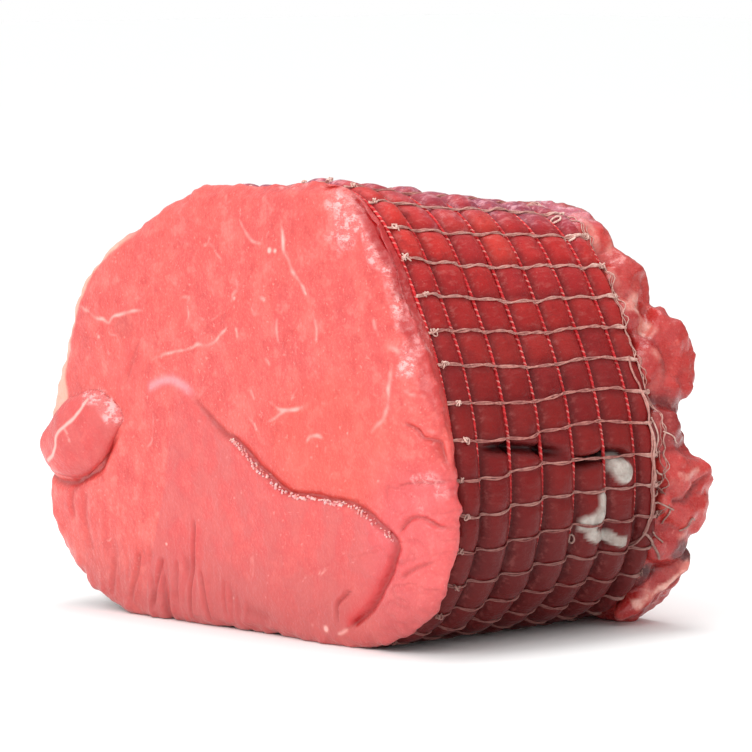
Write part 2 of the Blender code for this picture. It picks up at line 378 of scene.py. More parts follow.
gap, share, side = line_distance(flat, NUB_EDGE)
height -= 1.6 * np.exp(-(gap / 1.3) ** 2) * smooth_step(0.22, 0.40, share)
# painted shade: a dark line in the crevice round the nub
nub_crevice_shade = np.exp(-(gap / 0.9) ** 2) * smooth_step(0.25, 0.45, share)
crease = np.maximum(crease, nub_crevice_shade)
print("heights on the face run from", round(height.min(), 1), "to", round(height.max(), 1), "mm")

# %% Move the sheet
def sheet_normals(points):
    """Unit normals of an open sheet of points."""
    n = np.cross(np.gradient(points, axis=0), np.gradient(points, axis=1))
    return n / np.maximum(np.linalg.norm(n, axis=-1, keepdims=True), 1e-12)


lip = smooth_step(0.93, 0.985, face_radius) * smooth_step(3.2 * MM, 0.8 * MM, face_along)
lip_swell = 0.9 * rough_bumps(face_base, 0.011, 5) + 0.5 * bumps(face_base, 0.004, 6) + 0.4 * near(face_angle, -18, 24)
lip_swell = lip_swell - 2.9 * near(face_angle, 42, 30)
face_normals = sheet_normals(face_base)
if face_normals[FACE_CELLS // 2, FACE_CELLS // 2, 0] > 0:
    face_normals = -face_normals
calm = 1 - smooth_step(2.0 * MM, 3.0 * MM, face_along)
face_points = face_base + face_normals * ((height * calm + lip_swell * lip) * MM)[..., None]
face_points[..., 2] = np.maximum(face_points[..., 2], 0.0002)

# %% [markdown]
# ### Fat between the muscles
#
# Fat shows as fine cream lines, a few short dashes and spots, a glossy patch at the top, and a rim of fat round
# the far shoulder, and pale smears of wet silverskin carry a painted sheen. They are painted as numbers on the
# points, so the material can mix its colours by them and they stay in place whatever the light does. Every line
# swells and fades a little along its way, because a line of one width would look drawn with a pen.

# %% Painting the fat
MARBLING = [  # line, width in millimetres, strength
    ([(73, 95), (70, 93), (67, 93), (63, 91), (60, 91), (57, 90), (55, 92), (52, 93), (47, 94), (40, 95)], 0.8, 0.8),
    ([(57, 89), (56, 87), (53, 86), (52, 84)], 0.6, 0.8),
    ([(46, 94), (46, 91)], 0.5, 0.5),
    ([(58, 83), (56, 80)], 0.7, 0.6),
    ([(65, 84), (66, 79)], 0.7, 0.35),
    ([(24, 99), (19, 100.5), (20, 98), (19, 94), (21, 92)], 0.8, 0.55),
    ([(36, 80), (31, 82), (26, 83), (21, 84), (15, 86), (10, 86), (6, 88), (4, 90), (1, 92), (3, 94)], 0.8, 0.7),
    ([(14, 94), (8, 94), (4, 96), (5, 98)], 0.6, 0.5),
    ([(39, 87), (33, 88), (26, 91), (21, 92)], 0.7, 0.3),
    ([(-2, 107), (-3, 104), (-1, 102), (-2, 100)], 0.9, 0.6),
    ([(-3, 92), (-4, 89)], 0.7, 0.7),
    ([(-7, 101), (-10, 98), (-12, 96)], 0.7, 0.5),
    ([(-14, 102), (-16, 101)], 0.8, 0.7),
    ([(5, 132), (4, 129), (2, 130)], 0.8, 0.5),
    ([(-3, 124), (-5, 121), (-8, 119), (-11, 118), (-14, 118)], 0.8, 0.8),
    ([(10, 119), (11, 117), (13, 116)], 0.7, 0.7),
    ([(11, 117), (8, 115), (5, 112)], 0.7, 0.6),
    ([(-16, 84), (-18, 82)], 0.8, 0.7),
    ([(-9, 74), (-11, 71)], 0.6, 0.7),
    ([(0, 71), (-3, 74)], 0.6, 0.4),
    ([(35, 64), (35, 60), (36, 55), (38, 53)], 0.6, 0.5),
    ([(-10, 25), (-9, 17)], 0.6, 0.45),
    ([(58, 22), (56, 24)], 0.5, 0.5),
    ([(67, 19), (64, 14), (63, 9)], 0.6, 0.5),
    ([(55, 48), (52, 50), (48, 50)], 0.7, 0.45),
    ([(48, 43), (48, 40)], 0.8, 0.35),
    ([(75, 38), (74, 31)], 0.9, 0.4),
    ([(-18, 71), (-22, 69), (-25, 69), (-28, 69.5), (-34, 70.5)], 0.9, 0.8),
    ([(-25, 69), (-20, 66), (-17, 65)], 0.8, 0.65),
    ([(-30, 76), (-27, 72)], 0.7, 0.6),
    ([(-8, 66), (-11, 64), (-13, 62)], 0.8, 0.6),
    ([(-34, 60), (-35, 61.5), (-39, 62.5), (-41, 62)], 0.8, 0.7),
    ([(-42, 60), (-42, 57)], 0.7, 0.35),
    ([(-61, 65), (-64, 67.5), (-66, 69), (-67, 72), (-68, 76), (-68, 80), (-69, 85)], 1.1, 0.75),
    ([(-43, 24), (-39, 21)], 0.6, 0.6),
    ([(-9, 24), (-8, 18)], 0.6, 0.4),
    ([(-45, 4), (-49, 6)], 0.9, 0.8),
    ([(-22, 123), (-23, 118), (-24, 115), (-26, 112), (-28, 109)], 1.0, 1.0),
    ([(-28, 109), (-32, 106), (-33, 104)], 0.8, 0.85),
    ([(-35, 127), (-38, 125), (-42, 123), (-45, 121)], 0.8, 0.35),
    ([(-37, 97), (-38, 94), (-38, 90)], 0.8, 0.75),
    ([(-37, 82), (-38, 80)], 0.7, 0.45),
    ([(-21, 96), (-21, 92), (-22, 88)], 0.8, 0.6),
    ([(-23, 84), (-22, 80), (-22, 76)], 0.6, 0.45),
    ([(-13, 102), (-15, 101)], 0.8, 0.5),
    ([(-20, 100), (-27, 100)], 0.8, 0.35),
    ([(-29, 90), (-29, 86)], 0.7, 0.6),
    ([(-61, 98), (-62, 95), (-63, 93)], 0.9, 0.75),
    ([(-67, 90.5), (-70, 89.5), (-72, 88)], 1.6, 0.7),
    ([(-73, 78), (-77, 77), (-81, 77)], 0.8, 0.6),
    ([(-45, 73), (-40, 72)], 0.8, 0.35),
    ([(-55, 75.5), (-56, 77)], 0.7, 0.6),
    ([(-80, 70), (-83, 71), (-85, 74)], 0.6, 0.35),
]
SPOTS = [  # place, width in millimetres, strength
    ((62, 85.5), 1.3, 0.7), ((62, 99), 0.8, 0.6), ((55, 109), 1.0, 0.6), ((-17, 116), 1.5, 1.2),
    ((-19.5, 116), 1.2, 1.0), ((-2, 101), 1.1, 0.8), ((13, 63), 1.0, 0.5), ((30, 24), 0.9, 0.9),
    ((35, 14), 0.8, 0.4), ((1, 10), 1.0, 0.6), ((9, 24), 0.7, 0.4), ((-48, 65.5), 0.9, 0.55),
    ((-51, 64), 0.8, 0.7), ((-64, 51), 0.9, 0.7), ((-50, 54), 0.7, 0.5), ((-50, 50), 0.7, 0.5),
    ((-70, 42), 0.8, 0.5), ((-39, 35), 0.7, 0.5), ((-62, 24), 0.8, 0.5), ((-40, 5), 1.8, 1.1),
    ((-34, 5.5), 1.4, 0.4), ((-33, 104), 0.9, 0.9), ((-77, 30), 0.8, 0.4), ((-75, 36), 0.8, 0.35),
]
CRINKLES = [  # smears of wet silverskin with a painted sheen: line, half width in millimetres, strength
    ([(-46, 133), (-50, 129), (-48, 124)], 6.5, 1.0),
    ([(-19, 136), (-28, 137)], 2.0, 0.7),
    ([(-57, 122), (-60, 117), (-64, 114), (-67, 111), (-69, 105)], 3.0, 0.9),
    ([(-69, 105), (-72, 99), (-76, 95), (-75, 88), (-74, 84)], 3.6, 1.0),
    ([(-79, 52), (-85, 53), (-88, 49)], 2.0, 0.5),
    ([(-77, 47), (-80, 44)], 1.6, 0.4),
    ([(66, 67), (60, 67.5), (55, 64), (52, 61)], 2.4, 1.1),
]

fat = np.zeros_like(height)
waver = 0.75 + 0.55 * bumps(face_base, 0.0035, 31)
for line, width, strength in MARBLING:
    gap, share, _ = line_distance(flat + 0.5 * np.stack([bumps(face_base, 0.004, 41), bumps(face_base, 0.004, 42)], -1),
                                  line)
    ends = smooth_step(-0.15, 0.15, share) * smooth_step(1.15, 0.85, share)
    fat = np.maximum(fat, 0.9 * strength * ends * waver * np.exp(-(gap / (0.95 * width)) ** 1.6))
for place, width, strength in SPOTS:
    gap = np.linalg.norm(flat - np.array(place), axis=-1)
    fat = np.maximum(fat, strength * np.exp(-(gap / (0.6 * width)) ** 2))

spot_dice = np.random.default_rng(19)
for _ in range(90):
    place = spot_dice.normal((-30, 42), (20, 16))
    gap = np.linalg.norm(flat - place, axis=-1)
    fat = np.maximum(fat, spot_dice.uniform(0.25, 0.6) * np.exp(-(gap / spot_dice.uniform(0.35, 0.6)) ** 2))

# painted sheen: smears of wet silverskin that the finish paints pale and wrinkled
crinkle = np.zeros_like(height)
for line, half, strength in CRINKLES:
    gap, _, _ = line_distance(flat, line, 20.0)
    ragged = gap + 0.45 * half * bumps(face_base, 0.004, 51)
    crinkle = np.maximum(crinkle, strength * smooth_step(1.25 * half, 0.45 * half, ragged))

far_shoulder = smooth_step(128, 140, np.degrees(face_angle) % 360) * smooth_step(190, 183, np.degrees(face_angle) % 360)
wedge = 0.075 * near(face_angle, 183, 8) + 0.030 + 0.012 * bumps(face_base, 0.008, 61)
rim_fat = far_shoulder * smooth_step(1 - wedge - 0.012, 1 - wedge + 0.006, face_radius + 0.1 * (face_along > 0.2 * MM))
ridge_gap, ridge_share, _ = line_distance(flat, [(36, 72), (31, 74), (26, 74.5), (21, 73), (17, 71)])
to_rim = np.where(face_along < 0.3 * MM, 78.0 * (1 - face_radius), 0.0)
wall = smooth_step(4.6, 2.8, to_rim + 2.4 * bumps(face_base, 0.008, 14)) * near(face_angle, 38, 36)
crinkle *= 1 - 0.85 * wall
# painted highlight: a pale pink band along the ridge above the seam
pink_ridge = np.exp(-(ridge_gap / 1.4) ** 2) * smooth_step(1.1, 0.8, ridge_share)
warm = smooth_step(30, 12, np.linalg.norm((flat - np.array([-45, 60])) * np.array([0.8, 1.1]), axis=-1)) * (tongue < 0)
bruise = np.exp(-(np.linalg.norm((flat - np.array([50, 90])) * np.array([0.8, 1.0]), axis=-1) / 4.6) ** 4)
print("points with fat:", int((fat > 0.3).sum()), "with crinkled skin:", int((crinkle > 0.5).sum()))

# %% Make the cut face
cut_face = make_mesh("cut_face", face_points, sheet_faces(FACE_CELLS + 1, FACE_CELLS + 1).tolist(), {
    "fat": fat, "rim_fat": rim_fat, "crease": np.clip(crease, 0, 1), "crinkle": crinkle, "deep_red": deep_red,
    "bruise": bruise, "warm": warm, "wrinkled": wrinkled, "pink_ridge": pink_ridge, "wall": wall, "furrow": furrow_shade,
    "tongue": smooth_step(-0.5, 0.5, tongue) * smooth_step(0.02, 0.2, seam_share),
})

# %% [markdown]
# ### Wet beads on the seam
#
# Meat juice gathers in tiny beads along the lip of the tongue, where they catch the light. Each bead is a small
# flattened ball sunk into the lip, so it sits on the meat instead of hovering over it.

# %% Make the seam beads
def ball_points(rings, turns):
    lift = np.linspace(-0.499, 0.499, rings)[:, None] * math.pi
    turn = np.linspace(0, 2 * math.pi, turns, endpoint=False)
    return np.stack(np.broadcast_arrays(np.cos(lift) * np.cos(turn), np.cos(lift) * np.sin(turn), np.sin(lift)), -1)


def ball_sheet(rings, turns):
    """Faces of such a ball, its poles closed by small caps."""
    faces = sheet_faces(rings, turns, True).tolist()
    return faces + [list(range(turns)), list(range((rings - 1) * turns, rings * turns))[::-1]]


on_lip = (tongue > -0.1) & (tongue < 0.65) & (seam_share > 0.27) & (seam_share < 0.78)
rows_on, columns_on = np.nonzero(on_lip)
bead_dice = np.random.default_rng(29)
bead_shape, bead_points, bead_faces = ball_points(6, 9).reshape(-1, 3), [], []
for pick in bead_dice.choice(len(rows_on), 300):
    spot, normal = (v[rows_on[pick], columns_on[pick]] for v in (face_points, face_normals))
    size = bead_dice.uniform(0.28, 0.68) * MM * (1.0 - 0.4 * abs(seam_share[rows_on[pick], columns_on[pick]] - 0.5) / 0.23)
    bead_faces += [[len(bead_points) * len(bead_shape) + k for k in face] for face in ball_sheet(6, 9)]
    bead_points.append(spot + 0.2 * size * normal + bead_dice.normal(0, 0.15, 3) * (0.2, 1, 1) * MM + size * bead_shape * bead_dice.uniform(0.6, 1.2, 3))
seam_beads = make_mesh("seam_beads", np.concatenate(bead_points), bead_faces)

# %% [markdown]
# ## The netted side
#
# Under the net the meat swells into pillows: deep grooves where the elastic hoops bite, and shallow ones under
# the lengthwise strings. Displacing a plain tube with a texture would blur this, so the sheet's columns follow
# the strings and its rows follow the hoops. Each pillow then gets its own height, so that none repeats.

# %% Rows and columns of the sheet
PER_STRING, PER_GAP = 13, 14
column = np.arange(STRINGS * PER_STRING) / PER_STRING
places, shares, gaps = [HOOP_FIRST - 1.6 * MM, HOOP_FIRST - 0.6 * MM], [0.0, 0.0], [0, 0]
for gap_number, (start, stop) in enumerate(zip(HOOPS, HOOPS[1:])):
    for step in range(PER_GAP):
        places.append(start + (stop - start) * step / PER_GAP)
        shares.append(step / PER_GAP)
        gaps.append(gap_number)
places += [HOOP_LAST, HOOP_LAST + 1.0 * MM, HOOP_LAST + 2.5 * MM]
shares += [1.0, 1.0, 1.0]
gaps += [6, 6, 6]
along, share, gap_number = (np.array(v)[:, None] for v in (places, shares, gaps))
side_angle = string_angle(column + pull(column, along))


def groove_depth(angle):
    """The hoops bite deeper low on the near side, where the meat sags round them."""
    return GROOVE_DEPTH * (1.0 + 0.40 * near(angle, -35, 32))


def pillow_out(share, from_string, angle, string_press):
    """Height of the meat over the crowns: share is the place between two hoops, from_string in millimetres."""
    valley = np.abs(2 * share - 1) ** 2.5
    press = string_press * np.exp(-(from_string / 1.7) ** 2) * (1 - valley)
    return -groove_depth(angle) * valley - press * MM


def string_bite(angle):
    """How deep a string presses in millimetres: most on the top, least where the hoops alone hold the meat."""
    return 0.45 + 1.0 * near(angle, 68, 42) + 0.4 * near(angle, 250, 60)


string_number = np.round(column)
from_string = np.abs(column - string_number)[None, :] * 10.0
cell_random = np.random.default_rng(11).uniform(-1, 1, size=(8, STRINGS + 1, 3))
cell = (gap_number, np.floor(column).astype(int)[None, :] % STRINGS)
swell = np.sin(math.pi * share) * np.cos((np.mod(column, 1.0)[None, :] - 0.5) * math.pi)
string_press = string_bite(side_angle)

side_out = pillow_out(share, from_string, side_angle, string_press)
side_out = side_out + 0.55 * MM * swell * cell_random[cell + (0,)]
side_base = on_roll(along + bow(side_angle), side_angle, side_out)
lumps = 0.55 * bumps(side_base, 0.014, 71) + 0.22 * bumps(side_base, 0.005, 72) + 0.08 * bumps(side_base, 0.002, 73)
crown = np.sin(math.pi * np.clip(share, 0, 1)) ** 0.6
side_out = side_out + lumps * MM * (0.3 + 0.7 * crown)

# %% [markdown]
# ### Slits and bits of fat
#
# On the near side two long slits open between bundles of muscle, and pale hard fat shows through the net below
# them. The slits are cut into the sheet with painted shade inside them, and the fat swells out of the sheet a little.

# %% Slits and fat on the near side
near_side = (np.cos(side_angle) > 0.3) & (side_base[..., 1] < 0)
side_map = np.stack([along / MM + 0 * side_angle, side_base[..., 2] / MM + 0 * along], -1)
SLITS = [([(10, 61.0), (22, 60.5), (34, 59.2), (44, 57.4), (51, 56.0)], 4.0, 1.5),
         ([(50, 53.0), (60, 54.0), (68, 55.0), (78, 53.5)], 4.4, 1.5)]
# painted shade: marks the inside of each slit for darkening
slit = 0.0 * side_base[..., 0]
for line, depth, half in SLITS:
    gap, passed, _ = line_distance(side_map, line)
    ends = smooth_step(0.0, 0.25, passed) * smooth_step(1.0, 0.75, passed) * near_side
    side_out = side_out - depth * MM * ends * np.exp(-(gap / half) ** 2)
    slit = np.maximum(slit, ends * np.exp(-(gap / (1.35 * half)) ** 2))

FAT_BITS = [  # line, half width in millimetres
    ([(70.5, 52), (72.5, 49.5)], 3.0),
    ([(63.3, 42.5), (62.5, 39), (60, 36.5), (57, 35.3)], 2.3),
    ([(59, 32.2), (61.3, 31.4)], 2.1),
    ([(67.5, 31.0), (70, 29.7), (72.5, 29.0)], 1.5),
]
side_fat = 0.0 * slit
for line, half in FAT_BITS:
    gap, _, _ = line_distance(side_map, line)
    gap = gap + 0.5 * bumps(side_base, 0.004, 81)
    side_fat = np.maximum(side_fat, near_side * smooth_step(1.25 * half, 0.85 * half, gap))
side_out = side_out + 0.9 * MM * side_fat
side_points = on_roll(along + bow(side_angle), side_angle, side_out)
side_points[..., 2] = np.maximum(side_points[..., 2], 0.0)
netted_side = make_mesh("netted_side", side_points, sheet_faces(len(places), len(column), True).tolist(), {
    "groove": np.broadcast_to(np.abs(2 * share - 1) ** 4.5, slit.shape),
    "under_string": np.broadcast_to(np.exp(-(from_string / 1.3) ** 2), slit.shape),
    "bank": np.broadcast_to(np.exp(-((share - 0.13) / 0.07) ** 2), slit.shape),
    "tone": np.broadcast_to(cell_random[cell + (1,)], slit.shape), "slit": slit, "fat": side_fat,
    "silverskin": smooth_step(46, 62, turn_between(side_angle, 0) + 11 * bumps(side_base, 0.016, 85)
                              + 0.08 * (along / MM - 45)) * smooth_step(165, 120, turn_between(side_angle, 0)),
})

# %% [markdown]
# ## The net
#
# The net is knitted from two kinds of yarn. Red elastic hoops run round the roll and do the squeezing. Pale
# strings run along it and hold the hoops apart. Both are twisted from two plies, and a twist is a simple
# thing to build: the tube's outline isn't a circle but a figure of eight that turns as it goes.

# %% Yarn
def sweep(path, outline_angle, outline_radius, up_hint, closed=False, flatten=1.0):
    """Points of a tube: path (n, 3), outline_angle (m), outline_radius (n, m), up_hint (n, 3)."""
    if closed:
        tangent = np.roll(path, -1, axis=0) - np.roll(path, 1, axis=0)
    else:
        tangent = np.gradient(path, axis=0)
    tangent /= np.maximum(np.linalg.norm(tangent, axis=1, keepdims=True), 1e-12)
    up = up_hint - np.sum(up_hint * tangent, axis=1, keepdims=True) * tangent
    up /= np.maximum(np.linalg.norm(up, axis=1, keepdims=True), 1e-12)
    side = np.cross(tangent, up)
    c, s = np.cos(outline_angle), np.sin(outline_angle)
    return (path[:, None, :] + outline_radius[..., None]
            * (side[:, None, :] * c[None, :, None] + flatten * up[:, None, :] * s[None, :, None]))


def tube_faces(rings, sides, closed, start=0):
    """Faces of a tube, with a cap at each end unless it closes on itself."""
    count = rings if closed else rings - 1
    ring, side = np.meshgrid(np.arange(count), np.arange(sides), indexing="ij")
    after, follow = (ring + 1) % rings, (side + 1) % sides
    quads = np.stack([ring * sides + side, ring * sides + follow, after * sides + follow, after * sides + side], -1)
    faces = (quads.reshape(-1, 4) + start).tolist()
    if not closed:
        faces.append([start + k for k in range(sides)][::-1])
        faces.append([start + (rings - 1) * sides + k for k in range(sides)])
    return faces


class Yarns:
    """Collects tubes, so that many yarns become one piece."""

    def __init__(self):
        self.points, self.faces, self.spiral, self.pale = [], [], [], []
        self.count = 0

    def add(self, path, radius, up_hint, sides=6, closed=False, twist=None, lobe=0.0, flatten=1.0, pale=0.0):
        run = np.concatenate([[0.0], np.cumsum(np.linalg.norm(np.diff(path, axis=0), axis=1))])
        turn = np.linspace(0, 2 * np.pi, sides, endpoint=False)
        shape = np.broadcast_to(np.asarray(radius, float).reshape(-1, 1), (len(path), sides))
        if twist:
            shape = shape * (1 + lobe * np.cos(2 * (turn[None, :] - 2 * np.pi * run[:, None] / twist)))
        tube = sweep(path, turn, shape, up_hint, closed, flatten)
        self.points.append(tube.reshape(-1, 3))
        self.faces += tube_faces(len(path), sides, closed, self.count)
        self.count += len(path) * sides
        self.spiral.append(np.cos(turn[None, :] - 2 * np.pi * run[:, None] / (twist or 1.0)).ravel())
        self.pale.append(np.broadcast_to(np.asarray(pale, float).reshape(-1, 1), (len(path), sides)).ravel())

    def build(self, name):
        return make_mesh(name, np.concatenate(self.points), self.faces,
                         {"spiral": np.concatenate(self.spiral), "pale": np.concatenate(self.pale)})


def outwards(path):
    """Directions away from the roll's axis."""
    out = path * np.array([0.0, 1.0, 1.0])
    out[:, 2] -= SECTION_CENTRE_Z
    return out / np.linalg.norm(out, axis=1, keepdims=True)


# %% Elastic hoops
HOOP_RADIUS = 0.56 * MM
hoop_yarn = Yarns()
hoop_turn = np.linspace(0, 2 * np.pi, 1300, endpoint=False)
for number, place in enumerate(HOOPS):
    sink = (groove_depth(hoop_turn) - HOOP_RADIUS * 1.25 + 1.1 * MM * near(hoop_turn, -38, 26))
    wander = 0.25 * MM * bumps(on_roll(place, hoop_turn), 0.012, 91 + number)
    path = on_roll(place + bow(hoop_turn) + wander, hoop_turn, -sink)
    path[:, 2] = np.maximum(path[:, 2], HOOP_RADIUS)
    hoop_yarn.add(path, HOOP_RADIUS, outwards(path), sides=8, closed=True, twist=1.9 * MM, lobe=0.12)
hoops = hoop_yarn.build("hoops")

# %% [markdown]
# ### Strings along the roll
#
# A string passes over each pillow and dips to the hoop it is knotted to, so its height follows the meat, held a
# yarn's thickness above it. Real yarn never runs straight: every string sways sideways at its own pace.

# %% Lengthwise strings
STRING_RADIUS = 0.29 * MM
string_yarn = Yarns()
string_dice = np.random.default_rng(23)


def string_path(number, along):
    """Centre line of one string at these places along the roll."""
    flat_map = np.stack([along, np.full_like(along, number * 0.01), np.zeros_like(along)], -1)
    sway = 0.17 * bumps(flat_map, 0.034, 101) + 0.06 * bumps(flat_map, 0.012, 102)
    angle = string_angle(number + sway + pull(number + sway, along))
    column_at = np.mod(number + sway, STRINGS) * PER_STRING
    row_at = np.interp(along, places, np.arange(len(places)))
    meat = 0.0
    for row_step, column_step in product((0, 1), repeat=2):
        row_near = np.minimum(np.floor(row_at).astype(int) + row_step, len(places) - 1)
        column_near = (np.floor(column_at).astype(int) + column_step) % len(column)
        weight = np.abs(1 - row_step - row_at % 1) * np.abs(1 - column_step - column_at % 1)
        meat = meat + weight * side_out[row_near, column_near]
    if len(meat) > 5:
        taut = np.convolve(np.pad(meat, 3, mode="edge"), np.ones(7) / 7, mode="valid")
        meat = np.maximum(meat, taut)
    out = np.maximum(meat + 0.34 * MM, 1.75 * MM - groove_depth(angle))
    return on_roll(along + bow(angle), angle, out)


for number in range(STRINGS):
    along_string = np.arange(HOOP_FIRST - 0.6 * MM, HOOP_LAST + 1.0 * MM, 0.62 * MM)
    centre = string_path(number, along_string)
    up = outwards(centre)
    sideways = np.cross(np.gradient(centre, axis=0), up)
    sideways /= np.linalg.norm(sideways, axis=1, keepdims=True)
    pitch, phase = string_dice.uniform(10.0, 17.0) * MM, string_dice.uniform(0, 2 * np.pi)
    swing = 2 * np.pi * along_string / pitch + phase
    for ply in (0, 1):
        turn = (swing + math.pi * ply)[:, None]
        spread = 0.27 + 0.12 * bumps(centre, 0.005, 131)[:, None]
        offset = spread * MM * sideways * np.cos(turn) + 0.16 * MM * up * np.sin(turn)
        ply_path = centre + offset
        ply_path[:, 2] = np.maximum(ply_path[:, 2], 0.35 * MM)
        rough = STRING_RADIUS * (1 + 0.25 * bumps(ply_path, 0.0025, 132 + ply))
        near_end = smooth_step(HOOP_LAST - 9 * MM, HOOP_LAST - 4 * MM, along_string)
        near_start = smooth_step(5 * MM, 1 * MM, along_string)
        string_yarn.add(ply_path, rough * (1 + 0.65 * near_end), up, sides=5, flatten=0.8,
                        pale=0.35 * string_dice.uniform() + 0.5 * near_end + 0.5 * near_start)
strings = string_yarn.build("strings")

# %% [markdown]
# ## The small round muscle
#
# A little muscle with its own skin of fat stands out of the far edge of the face. It is a ball drawn out to a
# given outline: each ring of the ball follows the outline, and the ball is flatter than it is wide.

# %% Make the small round muscle
NUB_OUTLINE = [(88.6, 52), (83.6, 59.5), (76, 65.5), (69, 68), (62, 69), (54, 66), (49.5, 62), (51, 58.5),
               (55.7, 53), (59.7, 47), (65.3, 43.5), (72.6, 41), (80.6, 41.5), (85.3, 43.5), (87.6, 47.5)]
NUB_MIDDLE = np.array([69.0, 54.5])
nub_rings, nub_turns = 90, 180
outline = smooth_line(NUB_OUTLINE + NUB_OUTLINE[:3], 0.5)[:, :] - NUB_MIDDLE
order = np.argsort(np.arctan2(outline[:, 1], outline[:, 0]))
outline_turn = np.arctan2(outline[:, 1], outline[:, 0])[order]
outline_reach = np.linalg.norm(outline, axis=1)[order]
turn = np.linspace(-math.pi, math.pi, nub_turns, endpoint=False)
reach = np.interp(turn, outline_turn, outline_reach, period=2 * math.pi)
lift = np.linspace(-0.49, 0.49, nub_rings)[:, None] * math.pi
level, spread = np.sin(lift), np.cos(lift) ** 0.8
nub_yz = NUB_MIDDLE + spread[..., None] * (reach[:, None] * np.stack([np.cos(turn), np.sin(turn)], -1))[None]
depth_there = 4.0 + 3.0 * smooth_step(54, 76, nub_yz[..., 0])
nub_x = FACE_X / MM - 4.6 + 0.02 * (nub_yz[..., 0] - 69) - level * depth_there
nub_points = np.stack([nub_x, nub_yz[..., 0], nub_yz[..., 1]], -1) * MM
nub_points += (1.1 * MM * bumps(nub_points, 0.011, 111) + 0.3 * MM * bumps(nub_points, 0.004, 112))[..., None] * \
    np.array([-1.0, 0.3, 0.3])
NUB_LINE = [(63, 66), (65.5, 63), (68.5, 60), (71, 57.5), (74.5, 53.5), (75, 50.5), (77.5, 48), (81, 46)]
gap, passed, _ = line_distance(nub_yz, NUB_LINE)
front = level > -0.2
nub_fat = 0.9 * front * np.exp(-(gap / 0.75) ** 2)
branch, _, _ = line_distance(nub_yz, [(71, 57), (69.5, 55), (69, 53)])
nub_fat = np.maximum(nub_fat, 0.5 * front * np.exp(-(branch / 0.6) ** 2))
gap, _, _ = line_distance(nub_yz, [(64, 67.5), (59, 67), (54.5, 64), (51.5, 61)])
# painted sheen: a pale glossy band along the nub's upper edge
nub_shine = front * smooth_step(3.6, 1.2, gap + 1.5 * bumps(nub_points, 0.003, 113))
nub = make_mesh("nub_muscle", nub_points, ball_sheet(nub_rings, nub_turns), {
    "fat": nub_fat, "crinkle": nub_shine, "tongue": 0.9 + 0 * nub_fat})

# %% [markdown]
# ## The ragged end
#
# Beyond the last hoop the muscle ends in lobes, flaps and rolls of torn meat, with sharp creases where they
# meet. The end is built the way a sculptor adds clay: a core that fits the last hoop, then flattened balls
# pressed on it. A voxel remesh welds them all into one closed skin and leaves the creases, and soft bumps
# along the surface make it look wet and torn. The large lobes on the near side are listed one by one, and those on
# the back and the far side come from a seeded roll of the dice.

# %% Core of the end
END_REACH = 0.0200
LOBES = ((12.0, 10.0, 4.5, 3.0), (-14.0, 9.0, 8.5, 3.0), (-40.0, 10.0, 11.0, 3.0), (80.0, 24.0, 9.0, 0.0),
         (132.0, 16.0, 5.0, 1.5), (166.0, 14.0, 8.5, 2.0), (203.0, 15.0, 6.0, 1.0), (262.0, 26.0, 7.0, 0.0))
CLEFTS = ((1.0, 4.0, 4.0, 5.0), (-27.0, 4.5, 5.5, 6.0), (40.0, 8.0, 3.5, 2.0), (112.0, 5.0, 4.0, 3.5),
          (149.0, 4.5, 4.5, 4.0), (185.0, 5.0, 6.0, 5.0), (228.0, 6.0, 4.0, 4.0))
END_TURNS = 300
end_turn = np.linspace(0, 2 * np.pi, END_TURNS, endpoint=False)


def end_reach(angle):
    """How far the end goes beyond the last hoop, and how far it swells, all round."""
    reach = END_REACH + sum(l * MM * near(angle, a, w) for a, w, l, _ in LOBES)
    swell = sum(s * MM * near(angle, a, w) for a, w, _, s in LOBES)
    return (reach - sum(d * MM * near(angle, a, w) for a, w, d, _ in CLEFTS),
            swell - sum(i * MM * near(angle, a, w) for a, w, _, i in CLEFTS))


reach, swell = end_reach(end_turn)
END_PROFILE = [(0.0, -3.9, 1.0), (0.10, -2.2, 1.0), (0.35, -1.0, 1.0), (0.62, -1.8, 1.0), (0.78, -4.0, 0.98),
               (0.84, -5.5, 0.92), (0.80, -5, 0.80), (0.72, -4, 0.62), (0.66, 0, 0.40), (0.62, 0, 0.15), (0.62, 0, 0.02)]
core_rows = [on_roll(HOOP_LAST - 0.4 * MM, end_turn, -6 * MM), on_roll(HOOP_LAST - 0.4 * MM, end_turn, -4 * MM)]
for a, b, c in smooth_line([(60 * a, b, 60 * c) for a, b, c in END_PROFILE], 1.6):
    even = reach.mean() + (reach - reach.mean()) * smooth_step(0.40, 0.85, c / 60)
    core_rows.append(on_roll(HOOP_LAST + even * a / 60 + bow(end_turn) * max(0.0, 1 - a / 25), end_turn,
                             b * MM + swell * min(1.0, a / 25), c / 60))
core = np.stack(core_rows)
core[..., 2] = np.maximum(core[..., 2], 0.3 * MM)
core_faces = sheet_faces(len(core_rows), END_TURNS, True).tolist()
core_faces += [list(range(END_TURNS))[::-1], [(len(core_rows) - 1) * END_TURNS + k for k in range(END_TURNS)]]
print("the core has", len(core_rows), "rings and reaches", round(1000 * reach.max(), 1), "mm past the last hoop")

